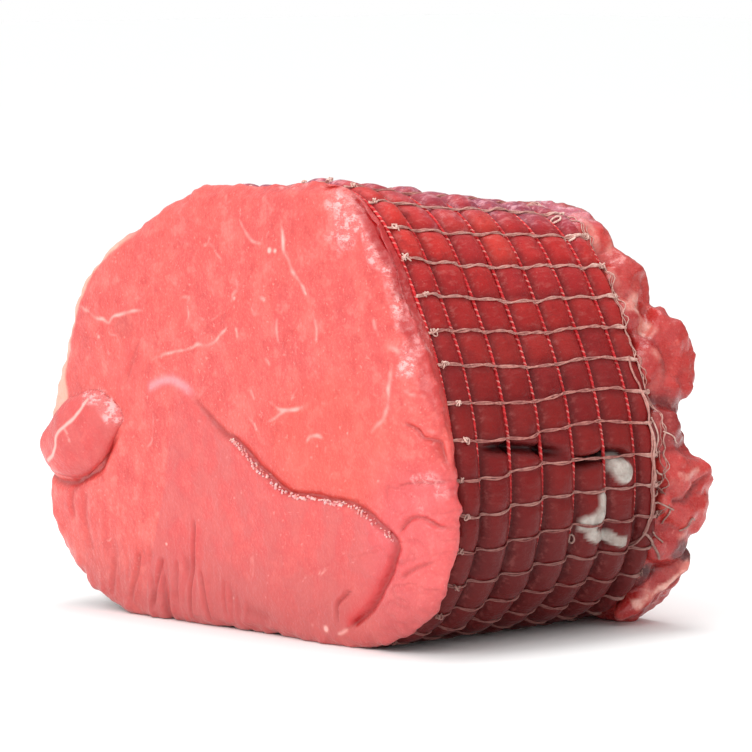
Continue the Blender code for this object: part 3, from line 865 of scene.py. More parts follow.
# %% Lobes
# place beyond the last hoop in millimetres, angle, out; half sizes along, round and out; tilt; tone; fat
END_LOBES = [
    (6.0, 61, -5.6, 9.0, 9.0, 4.0, 0, -0.2, 0.0), (6.0, 50, -4.0, 8.0, 9.0, 4.6, 10, 1.0, 0.0),
    (10.5, 36.5, -3.3, 9.5, 11.0, 6.0, 22, 0.45, 0.1), (5.0, 28.0, -2.2, 5.0, 6.5, 4.4, 10, 0.2, 0.4),
    (15.5, 17, -3.4, 11.0, 14.5, 7.0, -14, 0.7, 0.0), (18.0, 9.5, -4.0, 8.0, 7.0, 6.0, 0, 0.5, 0.0),
    (7.0, 15, -2.4, 6.5, 9.0, 4.5, 5, 0.2, 0.2), (9.0, 4, -5.0, 8.5, 6.0, 4.5, 0, -0.7, 0.0),
    (6.5, -1, -3.8, 9.5, 8.0, 5.0, 0, -0.4, 0.0), (11.5, -9.0, -1.7, 13.2, 6.8, 5.6, -6, 0.55, 0.1),
    (11.0, -16.5, -2.0, 12.0, 6.4, 5.4, -14, 0.6, 0.1), (6.0, -23, -3.0, 9.0, 6.5, 4.5, 0, 0.1, 0.0),
    (12.0, -27, -5.0, 7.5, 5.5, 4.8, 0, -0.6, 0.0), (8.5, -33.5, -1.7, 15.5, 4.8, 5.6, 50, 0.45, 0.1),
    (14.5, -40.5, -3.2, 14.5, 4.8, 5.8, 50, 0.1, 0.1), (4.0, -32, -5.0, 7.0, 6.0, 3.5, 40, -1.0, 0.0),
    (12.0, -52, -3.0, 9.0, 9.0, 5.0, 20, -0.3, 0.1), (9.0, -66, -3.0, 9.0, 10.0, 4.0, 0, -0.3, 0.0),
    (15.0, 72, -7.6, 12.0, 10.0, 5.5, 0, -0.1, 0.1), (17.0, 86, -7.6, 12.0, 12.0, 6.0, 0, 0.2, 0.0),
    (10.0, 101, -6.0, 11.0, 11.0, 5.5, 15, 0.0, 0.3),
]
lobe_dice = np.random.default_rng(31)
for angle in np.arange(112, 286, 11.0):
    reach_here = float(end_reach(math.radians(angle))[0]) / MM
    size = lobe_dice.uniform(7, 11)
    END_LOBES.append((reach_here - 0.95 * size, angle + lobe_dice.uniform(-3, 3), lobe_dice.uniform(-5.5, -3.5), size,
                      lobe_dice.uniform(9, 14), lobe_dice.uniform(4, 6), lobe_dice.uniform(-25, 25),
                      lobe_dice.uniform(-0.8, 0.8), lobe_dice.choice([0.0, 0.1, 0.5])))


ball = ball_points(18, 28).reshape(-1, 3)
ball_faces = ball_sheet(18, 28)
lobes = []  # centre, three half axes, tone, fat
for past, angle, out, long, wide, thick, tilt, tone, fatty in END_LOBES:
    turn = math.radians(angle)
    centre = on_roll(HOOP_LAST + past * MM, np.array(turn), out * MM)
    lean = math.radians(tilt)
    ahead, outward = np.array([1.0, 0.0, 0.0]), np.array([0.0, -math.cos(turn), math.sin(turn)])
    rounds = np.array([0.0, math.sin(turn), math.cos(turn)])
    lobes.append((centre, np.stack([(ahead * math.cos(lean) + rounds * math.sin(lean)) * long,
                                    (rounds * math.cos(lean) - ahead * math.sin(lean)) * wide,
                                    outward * thick]) * MM, tone, fatty))
for _ in range(40):
    angle, share = lobe_dice.uniform(0, 2 * math.pi), lobe_dice.uniform(0.0, 0.86)
    deep = 0.62 + 0.16 * smooth_step(0.3, 0.9, share)
    reach_here = reach.mean() + (float(end_reach(angle)[0]) - reach.mean()) * smooth_step(0.40, 0.85, share)
    centre = on_roll(HOOP_LAST + reach_here * deep - 2.5 * MM, np.array(angle), -4 * MM, share)
    centre[2] = max(centre[2], 0.008)
    axes = np.linalg.qr(lobe_dice.normal(size=(3, 3)) * np.array([0.3, 1, 1]))[0].T
    lobes.append((centre, axes * lobe_dice.uniform((9, 6, 5), (15, 10, 8))[:, None] * MM * np.array([0.7, 1, 1]),
                  lobe_dice.uniform(-0.45, 0.8), lobe_dice.choice([0.0, 0.0, 0.15, 0.6])))
print(len(lobes), "lobes on the end")

# %% Weld the end
clay_points, clay_faces = [core.reshape(-1, 3)], list(core_faces)
for centre, axes, _, _ in lobes:
    start = sum(len(p) for p in clay_points)
    pressed = centre + ball @ axes
    pressed = centre + (pressed - centre) * (1 + 0.28 * bumps(pressed, 0.008, 120))[:, None]
    clay_points.append(np.maximum(pressed, (-1.0, -1.0, 0.3 * MM)))
    clay_faces += [[start + k for k in face] for face in ball_faces]
clay = make_mesh("clay", np.concatenate(clay_points), clay_faces)
weld = clay.modifiers.new("weld", "REMESH")
weld.mode, weld.voxel_size = "VOXEL", 0.00085
calm = clay.modifiers.new("calm", "SMOOTH")
calm.factor, calm.iterations = 0.5, 9
welded = clay.evaluated_get(bpy.context.evaluated_depsgraph_get()).to_mesh()
end_points = np.empty(len(welded.vertices) * 3, np.float32)
end_normals = np.empty_like(end_points)
welded.vertices.foreach_get("co", end_points)
welded.vertices.foreach_get("normal", end_normals)
end_points, end_normals = (v.reshape(-1, 3).astype(float) for v in (end_points, end_normals))
end_faces = [tuple(face.vertices) for face in welded.polygons]
clay.to_mesh_clear()
bpy.data.objects.remove(clay)

# %% Skin of the end
LONGEST = [(-180, 30), (-110, 30), (-66, 25), (-50, 20), (-40, 17), (-30, 18), (-24, 15), (-20, 17), (-14, 22), (-10, 22),
           (-5, 16), (0, 13), (5, 16), (10, 23), (15, 26), (20, 23), (30, 19), (40, 13.5), (50, 12), (60, 18), (75, 27),
           (95, 30), (180, 30)]  # angle in degrees, furthest reach past the last hoop in millimetres
end_angle = np.arctan2(end_points[:, 2] - 0.0605, -(end_points[:, 1] - SECTION_CENTRE_Y))
from_axis = np.hypot(end_points[:, 1] - SECTION_CENTRE_Y, end_points[:, 2] - 0.0605) / (0.95 * crown_radius(end_angle))
outer = smooth_step(0.60, 0.82, from_axis)  # the listed shapes belong to the outside, not the middle
longest = 26 + outer * (np.interp(np.degrees(end_angle), *zip(*LONGEST)) - 26)
past = (end_points[:, 0] - FACE_X - HOOP_LAST) / MM
past = np.where(past > longest - 4, longest - 4 + 4 * np.tanh((past - longest + 4) / 4), past)
end_points[:, 0] = FACE_X + HOOP_LAST + past * MM
free = smooth_step(-0.5, 3.0, past)
relief = 1.3 * bumps(end_points, 0.010, 121) + 0.8 * bumps(end_points, 0.004, 122) + 0.25 * bumps(end_points, 0.0018, 123)
ridges = 0.5 - np.abs(bumps(end_points * np.array([0.5, 1, 1]), 0.006, 124))
end_points = end_points + end_normals * ((relief + 0.5 * ridges - 0.2) * free * MM)[:, None]
end_points[:, 2] = np.maximum(end_points[:, 2], 0.0)
inside = []
for centre, axes, _, _ in lobes:
    sizes = np.linalg.norm(axes, axis=1)
    inside.append(np.linalg.norm((end_points - centre) @ (axes / sizes[:, None] ** 2).T, axis=1))
inside = np.stack(inside, -1)
nearest_two = np.partition(inside, 1, axis=1)[:, :2]
weight = np.exp(-7.0 * (inside - nearest_two[:, :1]))
weight /= weight.sum(axis=1, keepdims=True)
tone, fatty = weight @ np.array([lobe[2] for lobe in lobes]), weight @ np.array([lobe[3] for lobe in lobes])
between_lobes = smooth_step(0.12, 0.0, nearest_two[:, 1] - nearest_two[:, 0]) * smooth_step(1.6, 1.2, nearest_two[:, 0])
end_map = np.stack([past, np.degrees(end_angle) * 1.2], -1)
END_FAT = [  # line as place past the last hoop and angle, half width in millimetres, strength
    ([(2, 52), (3, 47), (2.5, 43)], 1.3, 0.55), ([(2, 37), (3, 33)], 0.8, 0.35), ([(9, 44), (6, 41)], 1.0, 0.5),
    ([(5.5, 28), (7.5, 25), (7, 22.5)], 2.7, 0.85), ([(6, 16.5), (6.5, 15.0)], 1.2, 0.5),
    ([(15, -26), (11, -28.5), (6, -31.5), (1, -35)], 0.7, 1.1), ([(17, -3.5), (18, -4.5)], 1.2, 0.8),
    ([(4, -8), (8, -8.5), (13, -7.5)], 0.6, 0.5), ([(8, -20), (12, -19)], 0.7, 0.5), ([(10, 47), (13, 43)], 0.7, 0.4),
]
end_fat = fatty * smooth_step(-0.15, 0.5, bumps(end_points, 0.006, 125) + 0.5 * bumps(end_points, 0.0025, 126))
for line, half, strength in END_FAT:
    gap, _, _ = line_distance(end_map, [(a, 1.2 * b) for a, b in line])
    end_fat = np.maximum(end_fat, outer * strength * smooth_step(1.4 * half, 0.4 * half, gap + half * bumps(end_points, 0.004, 127)))
flap_crack, _, _ = line_distance(end_map, [(3, -15.5), (8, -15), (13, -12.5), (17, -11)])
roll_crack, _, _ = line_distance(end_map, [(18, -31.5), (13, -35.5), (8, -40), (3, -45.5)])
# painted shade: the cracks and the seams between lobes are darkened in the finish
cracks = outer * np.maximum(np.exp(-(flap_crack / 0.8) ** 2), 1.3 * np.exp(-(roll_crack / 1.6) ** 2))
# painted shade: a dark hollow above the lower roll, drawn in the tone with no dent in the shape
hollow_shade, _, _ = line_distance(end_map, [(9, -27), (14, -28.5), (18, -33)])
tone -= 1.1 * outer * smooth_step(4.0, 1.0, hollow_shade + 1.2 * bumps(end_points, 0.005, 130))
end_points = end_points - end_normals * (1.4 * MM * cracks)[:, None]
ragged_end = make_mesh("ragged_end", end_points, end_faces, {
    "fat": end_fat, "tone": tone, "crease": np.clip(np.maximum(0.6 * between_lobes, cracks), 0, 1),
    "silverskin": smooth_step(46, 58, np.degrees(end_angle) + 8 * bumps(end_points, 0.010, 128))
    * smooth_step(11, 7, past + 4 * bumps(end_points, 0.006, 129)) * smooth_step(100, 80, np.degrees(end_angle)),
})

# %% [markdown]
# ## Where the net is gathered
#
# The net doesn't stop neatly. At the cut face every string starts in a small fuzzy knot. At the ragged end the
# knitted edge curls over into a lace of loops, the strings drift together into a bundle on the near side, and
# cut ends stick out. All of these lie on the meat, so their paths are drawn as places on the roll and then
# dropped onto the finished skin by a ray towards the middle.

# %% Drop paths onto the meat
side_faces = sheet_faces(len(places), len(column), True)
meat_points = np.concatenate([end_points, side_points.reshape(-1, 3)])
meat_faces = end_faces + (side_faces + len(end_points)).tolist()
meat_tree = BVHTree.FromPolygons(meat_points.tolist(), meat_faces)


def dropped(path, height=0.35):
    """A path of (place past the last hoop in mm, angle in degrees) laid on the meat, height in mm above it."""
    laid = []
    for past_here, angle_here in path:
        turn = math.radians(angle_here)
        start = on_roll(HOOP_LAST + past_here * MM, np.array(turn), 25 * MM)
        axis = np.array([start[0], SECTION_CENTRE_Y, 0.062])
        ray = (axis - start) / np.linalg.norm(axis - start)
        hit, _, _, _ = meat_tree.ray_cast(Vector(start), Vector(ray))
        laid.append(np.array(hit) - ray * height * MM if hit else start + ray * 25 * MM)
    laid = np.array(laid)
    for _ in range(2):
        laid[1:-1] = 0.25 * laid[:-2] + 0.5 * laid[1:-1] + 0.25 * laid[2:]
    laid[:, 2] = np.maximum(laid[:, 2], 0.35 * MM)
    return laid


def wandering(line, step=0.6, wobble=0.35, seed=0):
    """A given line in (mm past the hoop, degrees) with small random wobbles."""
    path = smooth_line([(a, 1.2 * b) for a, b in line], step)
    dice = np.random.default_rng(seed)
    noise = dice.normal(size=path.shape)
    for _ in range(3):
        noise[1:-1] = (noise[:-2] + noise[1:-1] + noise[2:]) / 3
    return (path + wobble * noise * 1.7) / np.array([1.0, 1.2])


# %% Knots, lace, bundle and loose ends
edge_yarn = Yarns()
edge_dice = np.random.default_rng(41)


def add_thread(path, radius=0.30, pale=0.6, sides=5):
    edge_yarn.add(path, radius * MM, outwards(path), sides=sides, pale=pale)


def add_knot(centre, size, turns=34):
    """A small tangle: one thread wound at random round a point."""
    t = np.linspace(0, 2 * np.pi, turns)
    shift = edge_dice.uniform(0, 6.28, 6)
    tangle = np.stack([np.sin(2 * t + shift[0]) + 0.5 * np.sin(5 * t + shift[1]),
                       np.sin(3 * t + shift[2]) + 0.4 * np.sin(4 * t + shift[3]),
                       np.sin(4 * t + shift[4]) + 0.4 * np.sin(2 * t + shift[5])], -1)
    path = centre + size * MM * 0.62 * tangle * np.array([0.9, 1.0, 1.0])
    path[:, 2] = np.maximum(path[:, 2], 0.4 * MM)
    add_thread(path, 0.24, 0.75 + 0.25 * edge_dice.uniform(), 4)


for number in range(STRINGS):
    start = string_path(number, np.array([HOOP_FIRST + edge_dice.uniform(0.4, 3.5) * MM]))[0]
    add_knot(start + outwards(start[None])[0] * 0.3 * MM, edge_dice.uniform(0.8, 1.5))
    finish_place = string_path(number, np.array([HOOP_LAST - edge_dice.uniform(0.0, 1.0) * MM]))[0]
    add_knot(finish_place + outwards(finish_place[None])[0] * 0.3 * MM, edge_dice.uniform(0.8, 1.3))

for layer in range(3):
    swing = np.arange(-17.0, 262.0, 0.62)
    jitter = edge_dice.normal(size=(len(swing), 2))
    beat = 2 * np.pi * swing / (2.6 + 0.5 * layer)
    lace = np.stack([1.3 + 0.7 * np.sin(swing / 6.0 + layer) + 0.8 * np.cos(beat) + 0.5 * jitter[:, 0],
                     swing + 0.45 * np.sin(2 * beat) + 0.35 * jitter[:, 1]], -1)
    add_thread(dropped(lace, 0.12 + 0.08 * layer), 0.22, 0.20 + 0.15 * layer, 4)

BUNDLE = [(-3.0, 17), (-2.5, 9), (-3.0, 2), (-4.0, -4), (-5.0, -10), (-5.5, -15), (-7.0, -20), (-9.0, -24)]
for strand in range(3):
    shift = edge_dice.uniform(-0.3, 0.3)
    line = [(a + shift + edge_dice.uniform(-0.25, 0.25), b) for a, b in BUNDLE[strand:len(BUNDLE) - strand % 2]]
    add_thread(dropped(wandering(line, 0.6, 0.30, 50 + strand), 0.45 + 0.25 * strand), 0.36, 0.15 + 0.15 * strand)
LOOSE = [  # strands and stubs: line of places past the last hoop and angles, thickness
    ([(-1.0, 3), (-0.5, -1), (-1.5, -5)], 0.28), ([(-3, -8), (0.5, -9)], 0.30), ([(-4, -11), (0.0, -11.5)], 0.28),
    ([(-5, -14), (-1, -14.5), (3, -15.5)], 0.28), ([(-4.5, -13), (-1, -12.5)], 0.28),
    ([(-7, -20), (-3, -22), (1.5, -25.5)], 0.42), ([(-4, -20), (-1, -21), (1, -22)], 0.30), ([(2, -15.5), (3, -19)], 0.28),
    ([(7, -20), (9, -18.5), (9, -17), (11, -17.5)], 0.28), ([(1, 0), (4, -1), (7, -3)], 0.20),
]
for count, (line, thick) in enumerate(LOOSE):
    add_thread(dropped(wandering(line, 0.6, 0.10, 70 + count), 0.5), thick, 0.85)
for past_here, angle_here, long, wide in ((-7.3, 46.5, 1.7, 0.9), (-7.5, 52, 1.2, 0.9), (-35.8, -20.8, 0.6, 1.1)):
    turn = np.linspace(0, 2 * np.pi, 26)
    ring = [(past_here + long * math.cos(t), angle_here + wide * math.sin(t) * 0.75) for t in turn]
    add_thread(dropped(ring, 0.5), 0.34, 1.0)
edge_threads = edge_yarn.build("edge_threads")

# %% [markdown]
# ## Finishes
#
# Raw beef is wet, a little see-through and never one red. Each finish mixes a few reds by noise of different
# sizes, then lays the painted fat over them, with painted shade in creases, grooves, slits and low down, and
# painted sheen and glints on the wet skin. A thin clear coat makes the wet shine, and a little light is let under the
# surface.

# %% Node helpers
def screen_colour(red, green, blue):
    """Linear colour from the 0 to 255 values that a screen shows."""
    c = np.array([red, green, blue]) / 255.0
    return (*np.where(c <= 0.04045, c / 12.92, ((c + 0.055) / 1.055) ** 2.4).tolist(), 1.0)


class Finish:
    """A material and short ways to add nodes to it."""

    def __init__(self, name, **sockets):
        self.material = bpy.data.materials.new(name)
        self.material.use_nodes = True
        self.tree = self.material.node_tree
        self.shader = self.tree.nodes["Principled BSDF"]
        for socket, value in sockets.items():
            self.shader.inputs[socket.replace("_", " ")].default_value = value
        self.place = self.add("TexCoord").outputs["Object"]

    def add(self, kind, settings=None, **inputs):
        node = self.tree.nodes.new("ShaderNode" + kind)
        for key, value in (settings or {}).items():
            setattr(node, key, value)
        for key, value in inputs.items():
            self.feed(node.inputs[int(key[1:])] if key[1:].isdigit() else node.inputs[key.replace("_", " ")], value)
        return node

    def feed(self, socket, value):
        if isinstance(value, bpy.types.NodeSocket):
            self.tree.links.new(value, socket)
        else:
            socket.default_value = value

    def painted(self, name):
        return self.add("Attribute", {"attribute_name": name}).outputs["Fac"]

    def noise(self, size, detail=2.0, roughness=0.5, place=None, kind="FBM"):
        return self.add("TexNoise", {"noise_type": kind}, Vector=place or self.place, Scale=1.0 / size,
                        Detail=detail, Roughness=roughness).outputs["Fac"]

    def stretched(self, x, y, z, turn=(0, 0, 0)):
        return self.add("Mapping", Vector=self.place, Scale=(x, y, z), Rotation=turn).outputs["Vector"]

    def ramp(self, value, low, high, out_low=0.0, out_high=1.0):
        return self.add("MapRange", {"interpolation_type": "SMOOTHSTEP"}, i0=value, i1=low, i2=high, i3=out_low,
                        i4=out_high).outputs["Result"]

    def maths(self, operation, a, b=0.5):
        return self.add("Math", {"operation": operation}, i0=a, i1=b).outputs["Value"]

    def mix(self, share, a, b, blend="MIX"):
        node = self.add("Mix", {"data_type": "RGBA", "blend_type": blend})
        self.feed(node.inputs["Factor"], share)
        self.feed(node.inputs[6], a)
        self.feed(node.inputs[7], b)
        return node.outputs[2]

    def bump(self, height, strength, distance, under=None):
        node = self.add("Bump", Strength=strength, Distance=distance, Height=height)
        if under is not None:
            self.tree.links.new(under, node.inputs["Normal"])
        return node.outputs["Normal"]

    def finish(self, **links):
        for key, value in links.items():
            self.feed(self.shader.inputs[key.replace("_", " ")], value)
        return self.material


# %% Cut muscle
cut = Finish("fresh_cut_muscle", Coat_Weight=0.30, Coat_Roughness=0.22, Subsurface_Weight=0.2,
             Subsurface_Scale=0.0035, Subsurface_Radius=(1.0, 0.22, 0.15))
grain = cut.add("TexVoronoi", {"feature": "SMOOTH_F1"}, Vector=cut.place, Scale=1 / 0.0011,
                Smoothness=0.6).outputs["Distance"]
fine = cut.noise(0.0007, 3, 0.65)
broad = cut.noise(0.020, 3, 0.55)
patchy = cut.noise(0.0055, 4, 0.62)
blotch = cut.noise(0.0115, 2, 0.5, cut.stretched(1, 1.2, 0.9, (0.4, 0, 0)))
red = cut.mix(cut.ramp(broad, 0.35, 0.65), screen_colour(219, 80, 72), screen_colour(207, 69, 65))
red = cut.mix(cut.ramp(blotch, 0.50, 0.66, 0.0, 0.55), red, screen_colour(229, 102, 92))
red = cut.mix(cut.ramp(patchy, 0.52, 0.68, 0.0, 0.70), red, screen_colour(196, 50, 46))
red = cut.mix(cut.ramp(patchy, 0.47, 0.33, 0.0, 0.65), red, screen_colour(231, 111, 102))
red = cut.mix(cut.ramp(fine, 0.52, 0.72, 0.0, 0.32), red, screen_colour(238, 138, 126))
# painted glints: fine pale specks on the wet face
painted_glint = cut.maths("MULTIPLY", cut.ramp(cut.noise(0.0011, 2), 0.62, 0.72), cut.ramp(patchy, 0.40, 0.60, 0.05, 0.34))
red = cut.mix(painted_glint, red, screen_colour(244, 176, 164))
red = cut.mix(cut.ramp(grain, 0.25, 0.75, 0.0, 0.28), red, screen_colour(186, 50, 50))
red = cut.mix(cut.maths("MULTIPLY", cut.painted("tongue"), 0.5), red, screen_colour(198, 66, 68))
red = cut.mix(cut.maths("MULTIPLY", cut.painted("tongue"), cut.ramp(blotch, 0.42, 0.58, 0.0, 0.4)), red,
              screen_colour(188, 82, 80))
red = cut.mix(cut.maths("MULTIPLY", cut.painted("wrinkled"), 0.35), red, screen_colour(222, 92, 102))
red = cut.mix(cut.maths("MULTIPLY", cut.painted("warm"), 0.40), red, screen_colour(208, 74, 54))
red = cut.mix(cut.maths("MULTIPLY", cut.painted("bruise"), 0.45), red, screen_colour(176, 60, 54))
# painted shade: darker in the furrows at the foot of the face
red = cut.mix(cut.maths("MULTIPLY", cut.painted("furrow"), 0.65), red, screen_colour(164, 44, 46))
# painted shade: the face darkens towards the bottom, where it curves under away from the light
height_of = cut.add("SeparateXYZ", Vector=cut.place).outputs["Z"]
red = cut.mix(cut.ramp(height_of, 0.034, 0.0, 0.0, 0.62), red, screen_colour(166, 74, 72))
red = cut.mix(cut.maths("MULTIPLY", cut.painted("wall"), cut.ramp(broad, 0.40, 0.56, 0.55, 1.0)), red, screen_colour(170, 8, 12))
# painted shade: deep red in and beside the fold at the seam's end
red = cut.mix(cut.maths("MULTIPLY", cut.painted("deep_red"), 0.9), red, screen_colour(192, 30, 34))
# painted shade: dark red in the creases, folds and seam
red = cut.mix(cut.maths("MULTIPLY", cut.painted("crease"), 0.7), red, screen_colour(146, 14, 16))
# painted highlight: pale pink along the ridge above the seam
red = cut.mix(cut.maths("MULTIPLY", cut.painted("pink_ridge"), 0.6), red, screen_colour(238, 158, 166))
red = cut.mix(cut.ramp(cut.painted("fat"), 0.08, 0.95, 0.0, 0.82), red, screen_colour(242, 184, 174))
red = cut.mix(cut.painted("rim_fat"), red, screen_colour(230, 164, 144))
# painted sheen: pale wrinkled smears on the wet silverskin
wrinkle = cut.noise(0.0026, 4, 0.7, cut.stretched(1, 0.8, 1.3))
skin = cut.maths("MULTIPLY", cut.painted("crinkle"), cut.ramp(wrinkle, 0.46, 0.60, 0.12, 0.78))
red = cut.mix(skin, red, screen_colour(244, 188, 186))
shape = cut.bump(wrinkle, cut.maths("MULTIPLY", cut.painted("crinkle"), 0.9), 0.0012)
shape = cut.bump(cut.maths("ADD", patchy, cut.maths("MULTIPLY", blotch, 1.5)), 0.5, 0.0010, shape)
shape = cut.bump(cut.maths("ADD", cut.maths("MULTIPLY", grain, 0.8), fine), 0.45, 0.0004, shape)
shine = cut.maths("SUBTRACT", cut.ramp(fine, 0.3, 0.7, 0.30, 0.50), cut.maths("MULTIPLY", cut.painted("crinkle"), 0.16))
cut_muscle = cut.finish(Base_Color=red, Roughness=shine, Normal=shape)

# %% Muscle under the net
side = Finish("netted_muscle", Coat_Weight=0.05, Coat_Roughness=0.12, Subsurface_Weight=0.10,
              Subsurface_Scale=0.003, Subsurface_Radius=(1.0, 0.2, 0.15), Specular_IOR_Level=0.16)
broad = side.noise(0.020, 3, 0.55)
patchy = side.noise(0.0045, 4, 0.65)
streaks = side.noise(0.0016, 3, 0.6, side.stretched(0.35, 1, 1))
fine = side.noise(0.0007, 3, 0.6)
height_of = side.add("SeparateXYZ", Vector=side.place).outputs["Z"]
red = side.mix(side.ramp(broad, 0.35, 0.65), screen_colour(200, 52, 47), screen_colour(176, 38, 38))
red = side.mix(side.ramp(side.painted("tone"), 0.0, 1.0, 0.0, 0.30), red, screen_colour(204, 72, 60))
red = side.mix(side.ramp(side.painted("tone"), 0.0, -1.0, 0.0, 0.45), red, screen_colour(148, 34, 44))
red = side.mix(side.ramp(patchy, 0.52, 0.72, 0.0, 0.6), red, screen_colour(142, 34, 36))
red = side.mix(side.ramp(streaks, 0.52, 0.72, 0.0, 0.42), red, screen_colour(204, 104, 98))
red = side.mix(side.ramp(fine, 0.60, 0.76, 0.0, 0.32), red, screen_colour(226, 150, 138))
# painted shade: the netted side darkens towards the bottom, where the roll turns away from the light
red = side.mix(side.ramp(height_of, 0.124, 0.070, 0.0, 0.80), red, screen_colour(104, 16, 16))
red = side.mix(side.ramp(height_of, 0.072, 0.010, 0.0, 0.65), red, screen_colour(62, 16, 16))
# painted reflection: pale wet streaks on the pillow just past each hoop
red = side.mix(side.maths("MULTIPLY", side.painted("bank"), side.ramp(streaks, 0.46, 0.70, 0.0, 0.24)), red,
               screen_colour(206, 112, 106))
# painted shade: near black in the grooves beside each hoop
red = side.mix(side.maths("MULTIPLY", side.painted("groove"), 0.92), red, screen_colour(58, 5, 8))
# painted shade: darker under each lengthwise string
red = side.mix(side.maths("MULTIPLY", side.painted("under_string"), 0.42), red, screen_colour(104, 20, 22))
# silverskin: the membrane's own purple grey, with pale streaks as painted sheen
membrane_and_sheen = side.maths("MULTIPLY", side.painted("silverskin"), side.ramp(patchy, 0.35, 0.60, 0.35, 0.9))
red = side.mix(membrane_and_sheen, red, side.mix(side.ramp(streaks, 0.45, 0.65), screen_colour(138, 72, 92),
                                   screen_colour(206, 150, 162)))
# painted shade: near black inside the slits
red = side.mix(side.maths("MULTIPLY", side.painted("slit"), 0.95), red, screen_colour(34, 6, 8))
grey = side.mix(side.ramp(patchy, 0.35, 0.65), screen_colour(190, 180, 172), screen_colour(158, 144, 136))
red = side.mix(side.painted("fat"), red, grey)
shape = side.bump(side.maths("ADD", patchy, side.maths("MULTIPLY", streaks, 0.7)), 0.6, 0.0008)
shape = side.bump(fine, 0.4, 0.0003, shape)
netted_muscle = side.finish(Base_Color=red, Roughness=side.ramp(patchy, 0.3, 0.7, 0.30, 0.48), Normal=shape)

# %% Torn muscle
torn = Finish("torn_muscle", Coat_Weight=0.40, Coat_Roughness=0.12, Subsurface_Weight=0.18,
              Subsurface_Scale=0.004, Subsurface_Radius=(1.0, 0.2, 0.15), Specular_IOR_Level=0.35)
broad = torn.noise(0.012, 3, 0.55)
patchy = torn.noise(0.0042, 4, 0.65)
fine = torn.noise(0.0008, 3, 0.6)
red = torn.mix(torn.ramp(torn.painted("tone"), -1.0, 0.0), screen_colour(70, 12, 14), screen_colour(168, 38, 36))
red = torn.mix(torn.ramp(torn.painted("tone"), 0.0, 1.0), red, screen_colour(194, 54, 48))
red = torn.mix(torn.ramp(broad, 0.45, 0.70, 0.0, 0.45), red, screen_colour(150, 30, 34))
red = torn.mix(torn.ramp(patchy, 0.54, 0.72, 0.0, 0.42), red, screen_colour(214, 106, 94))
red = torn.mix(torn.ramp(fine, 0.58, 0.76, 0.0, 0.35), red, screen_colour(232, 150, 138))
# painted shade: dark red in the creases between lobes and in the cracks
red = torn.mix(torn.maths("MULTIPLY", torn.painted("crease"), torn.ramp(patchy, 0.35, 0.6, 0.8, 0.3)), red, screen_colour(98, 10, 14))
cream = torn.mix(torn.ramp(patchy, 0.40, 0.62), screen_colour(238, 178, 164), screen_colour(214, 122, 110))
red = torn.mix(torn.maths("MULTIPLY", torn.painted("fat"), 0.85), red, cream)
# silverskin: the membrane's own purple pink, with pale patches as painted sheen
membrane_and_sheen = torn.maths("MULTIPLY", torn.painted("silverskin"), torn.ramp(fine, 0.3, 0.6, 0.55, 0.95))
red = torn.mix(membrane_and_sheen, red, torn.mix(torn.ramp(patchy, 0.45, 0.62), screen_colour(176, 76, 98),
                                   screen_colour(214, 150, 162)))
shape = torn.bump(patchy, 0.6, 0.0010)
shape = torn.bump(fine, 0.4, 0.0004, shape)
torn_muscle = torn.finish(Base_Color=red, Roughness=torn.ramp(fine, 0.3, 0.7, 0.24, 0.42), Normal=shape)


# %% Yarns
def yarn_finish(name, dark, light, stripe, stripe_share, pale):
    """Twisted yarn: two tones by noise, one pale ply that winds round it, and paler where pale is painted."""
    yarn = Finish(name, Roughness=0.6, Specular_IOR_Level=0.3)
    colour = yarn.mix(yarn.ramp(yarn.noise(0.0016, 3, 0.55), 0.38, 0.62), dark, light)
    ply = yarn.ramp(yarn.painted("spiral"), 0.35, 0.85)
    ply = yarn.maths("MULTIPLY", ply, yarn.ramp(yarn.noise(0.0040, 2, 0.5), 0.38, 0.60, 0.15, stripe_share))
    colour = yarn.mix(ply, colour, stripe)
    colour = yarn.mix(yarn.maths("MULTIPLY", yarn.painted("pale"), yarn.ramp(yarn.noise(0.0009), 0.35, 0.6, 0.5, 1.0)),
                      colour, pale)
    # painted shade: the yarn darkens low down on the roll, where the side is in shade
    low_shade = yarn.ramp(yarn.add("SeparateXYZ", Vector=yarn.place).outputs["Z"], 0.072, 0.020, 0.0, 0.70)
    colour = yarn.mix(low_shade, colour, screen_colour(92, 38, 36))
    return yarn.finish(Base_Color=colour, Normal=yarn.bump(yarn.noise(0.0003, 2, 0.6), 0.5, 0.0002))


red_yarn = yarn_finish("red_elastic", screen_colour(186, 22, 28), screen_colour(222, 40, 46),
                       screen_colour(250, 160, 150), 0.85, screen_colour(240, 200, 190))
pale_yarn = yarn_finish("pale_string", screen_colour(152, 82, 78), screen_colour(188, 120, 110),
                        screen_colour(206, 146, 132), 0.4, screen_colour(238, 204, 190))

wet = Finish("wet_beads", Roughness=0.12, Subsurface_Weight=0.4, Subsurface_Scale=0.001)
bead_colour = wet.finish(Base_Color=wet.mix(wet.ramp(wet.noise(0.002), 0.35, 0.65), screen_colour(240, 182, 178),
                                            screen_colour(228, 140, 138)))

# %% Dress the pieces
finish_piece(cut_face, "beef_joint", cut_muscle)
finish_piece(netted_side, "beef_joint", netted_muscle)
finish_piece(seam_beads, "beef_joint", bead_colour)
finish_piece(nub, "beef_joint", cut_muscle)
finish_piece(ragged_end, "beef_joint", torn_muscle)
finish_piece(hoops, "net", red_yarn)
finish_piece(strings, "net", pale_yarn)
finish_piece(edge_threads, "net", pale_yarn)

# %% [markdown]
# ## Floor, light and camera
#
# A white floor and a white room give the soft, even light of a shop picture. One large lamp stands in front of
# the cut face, so the netted side falls into half shade, and one hangs above for the shine on top.

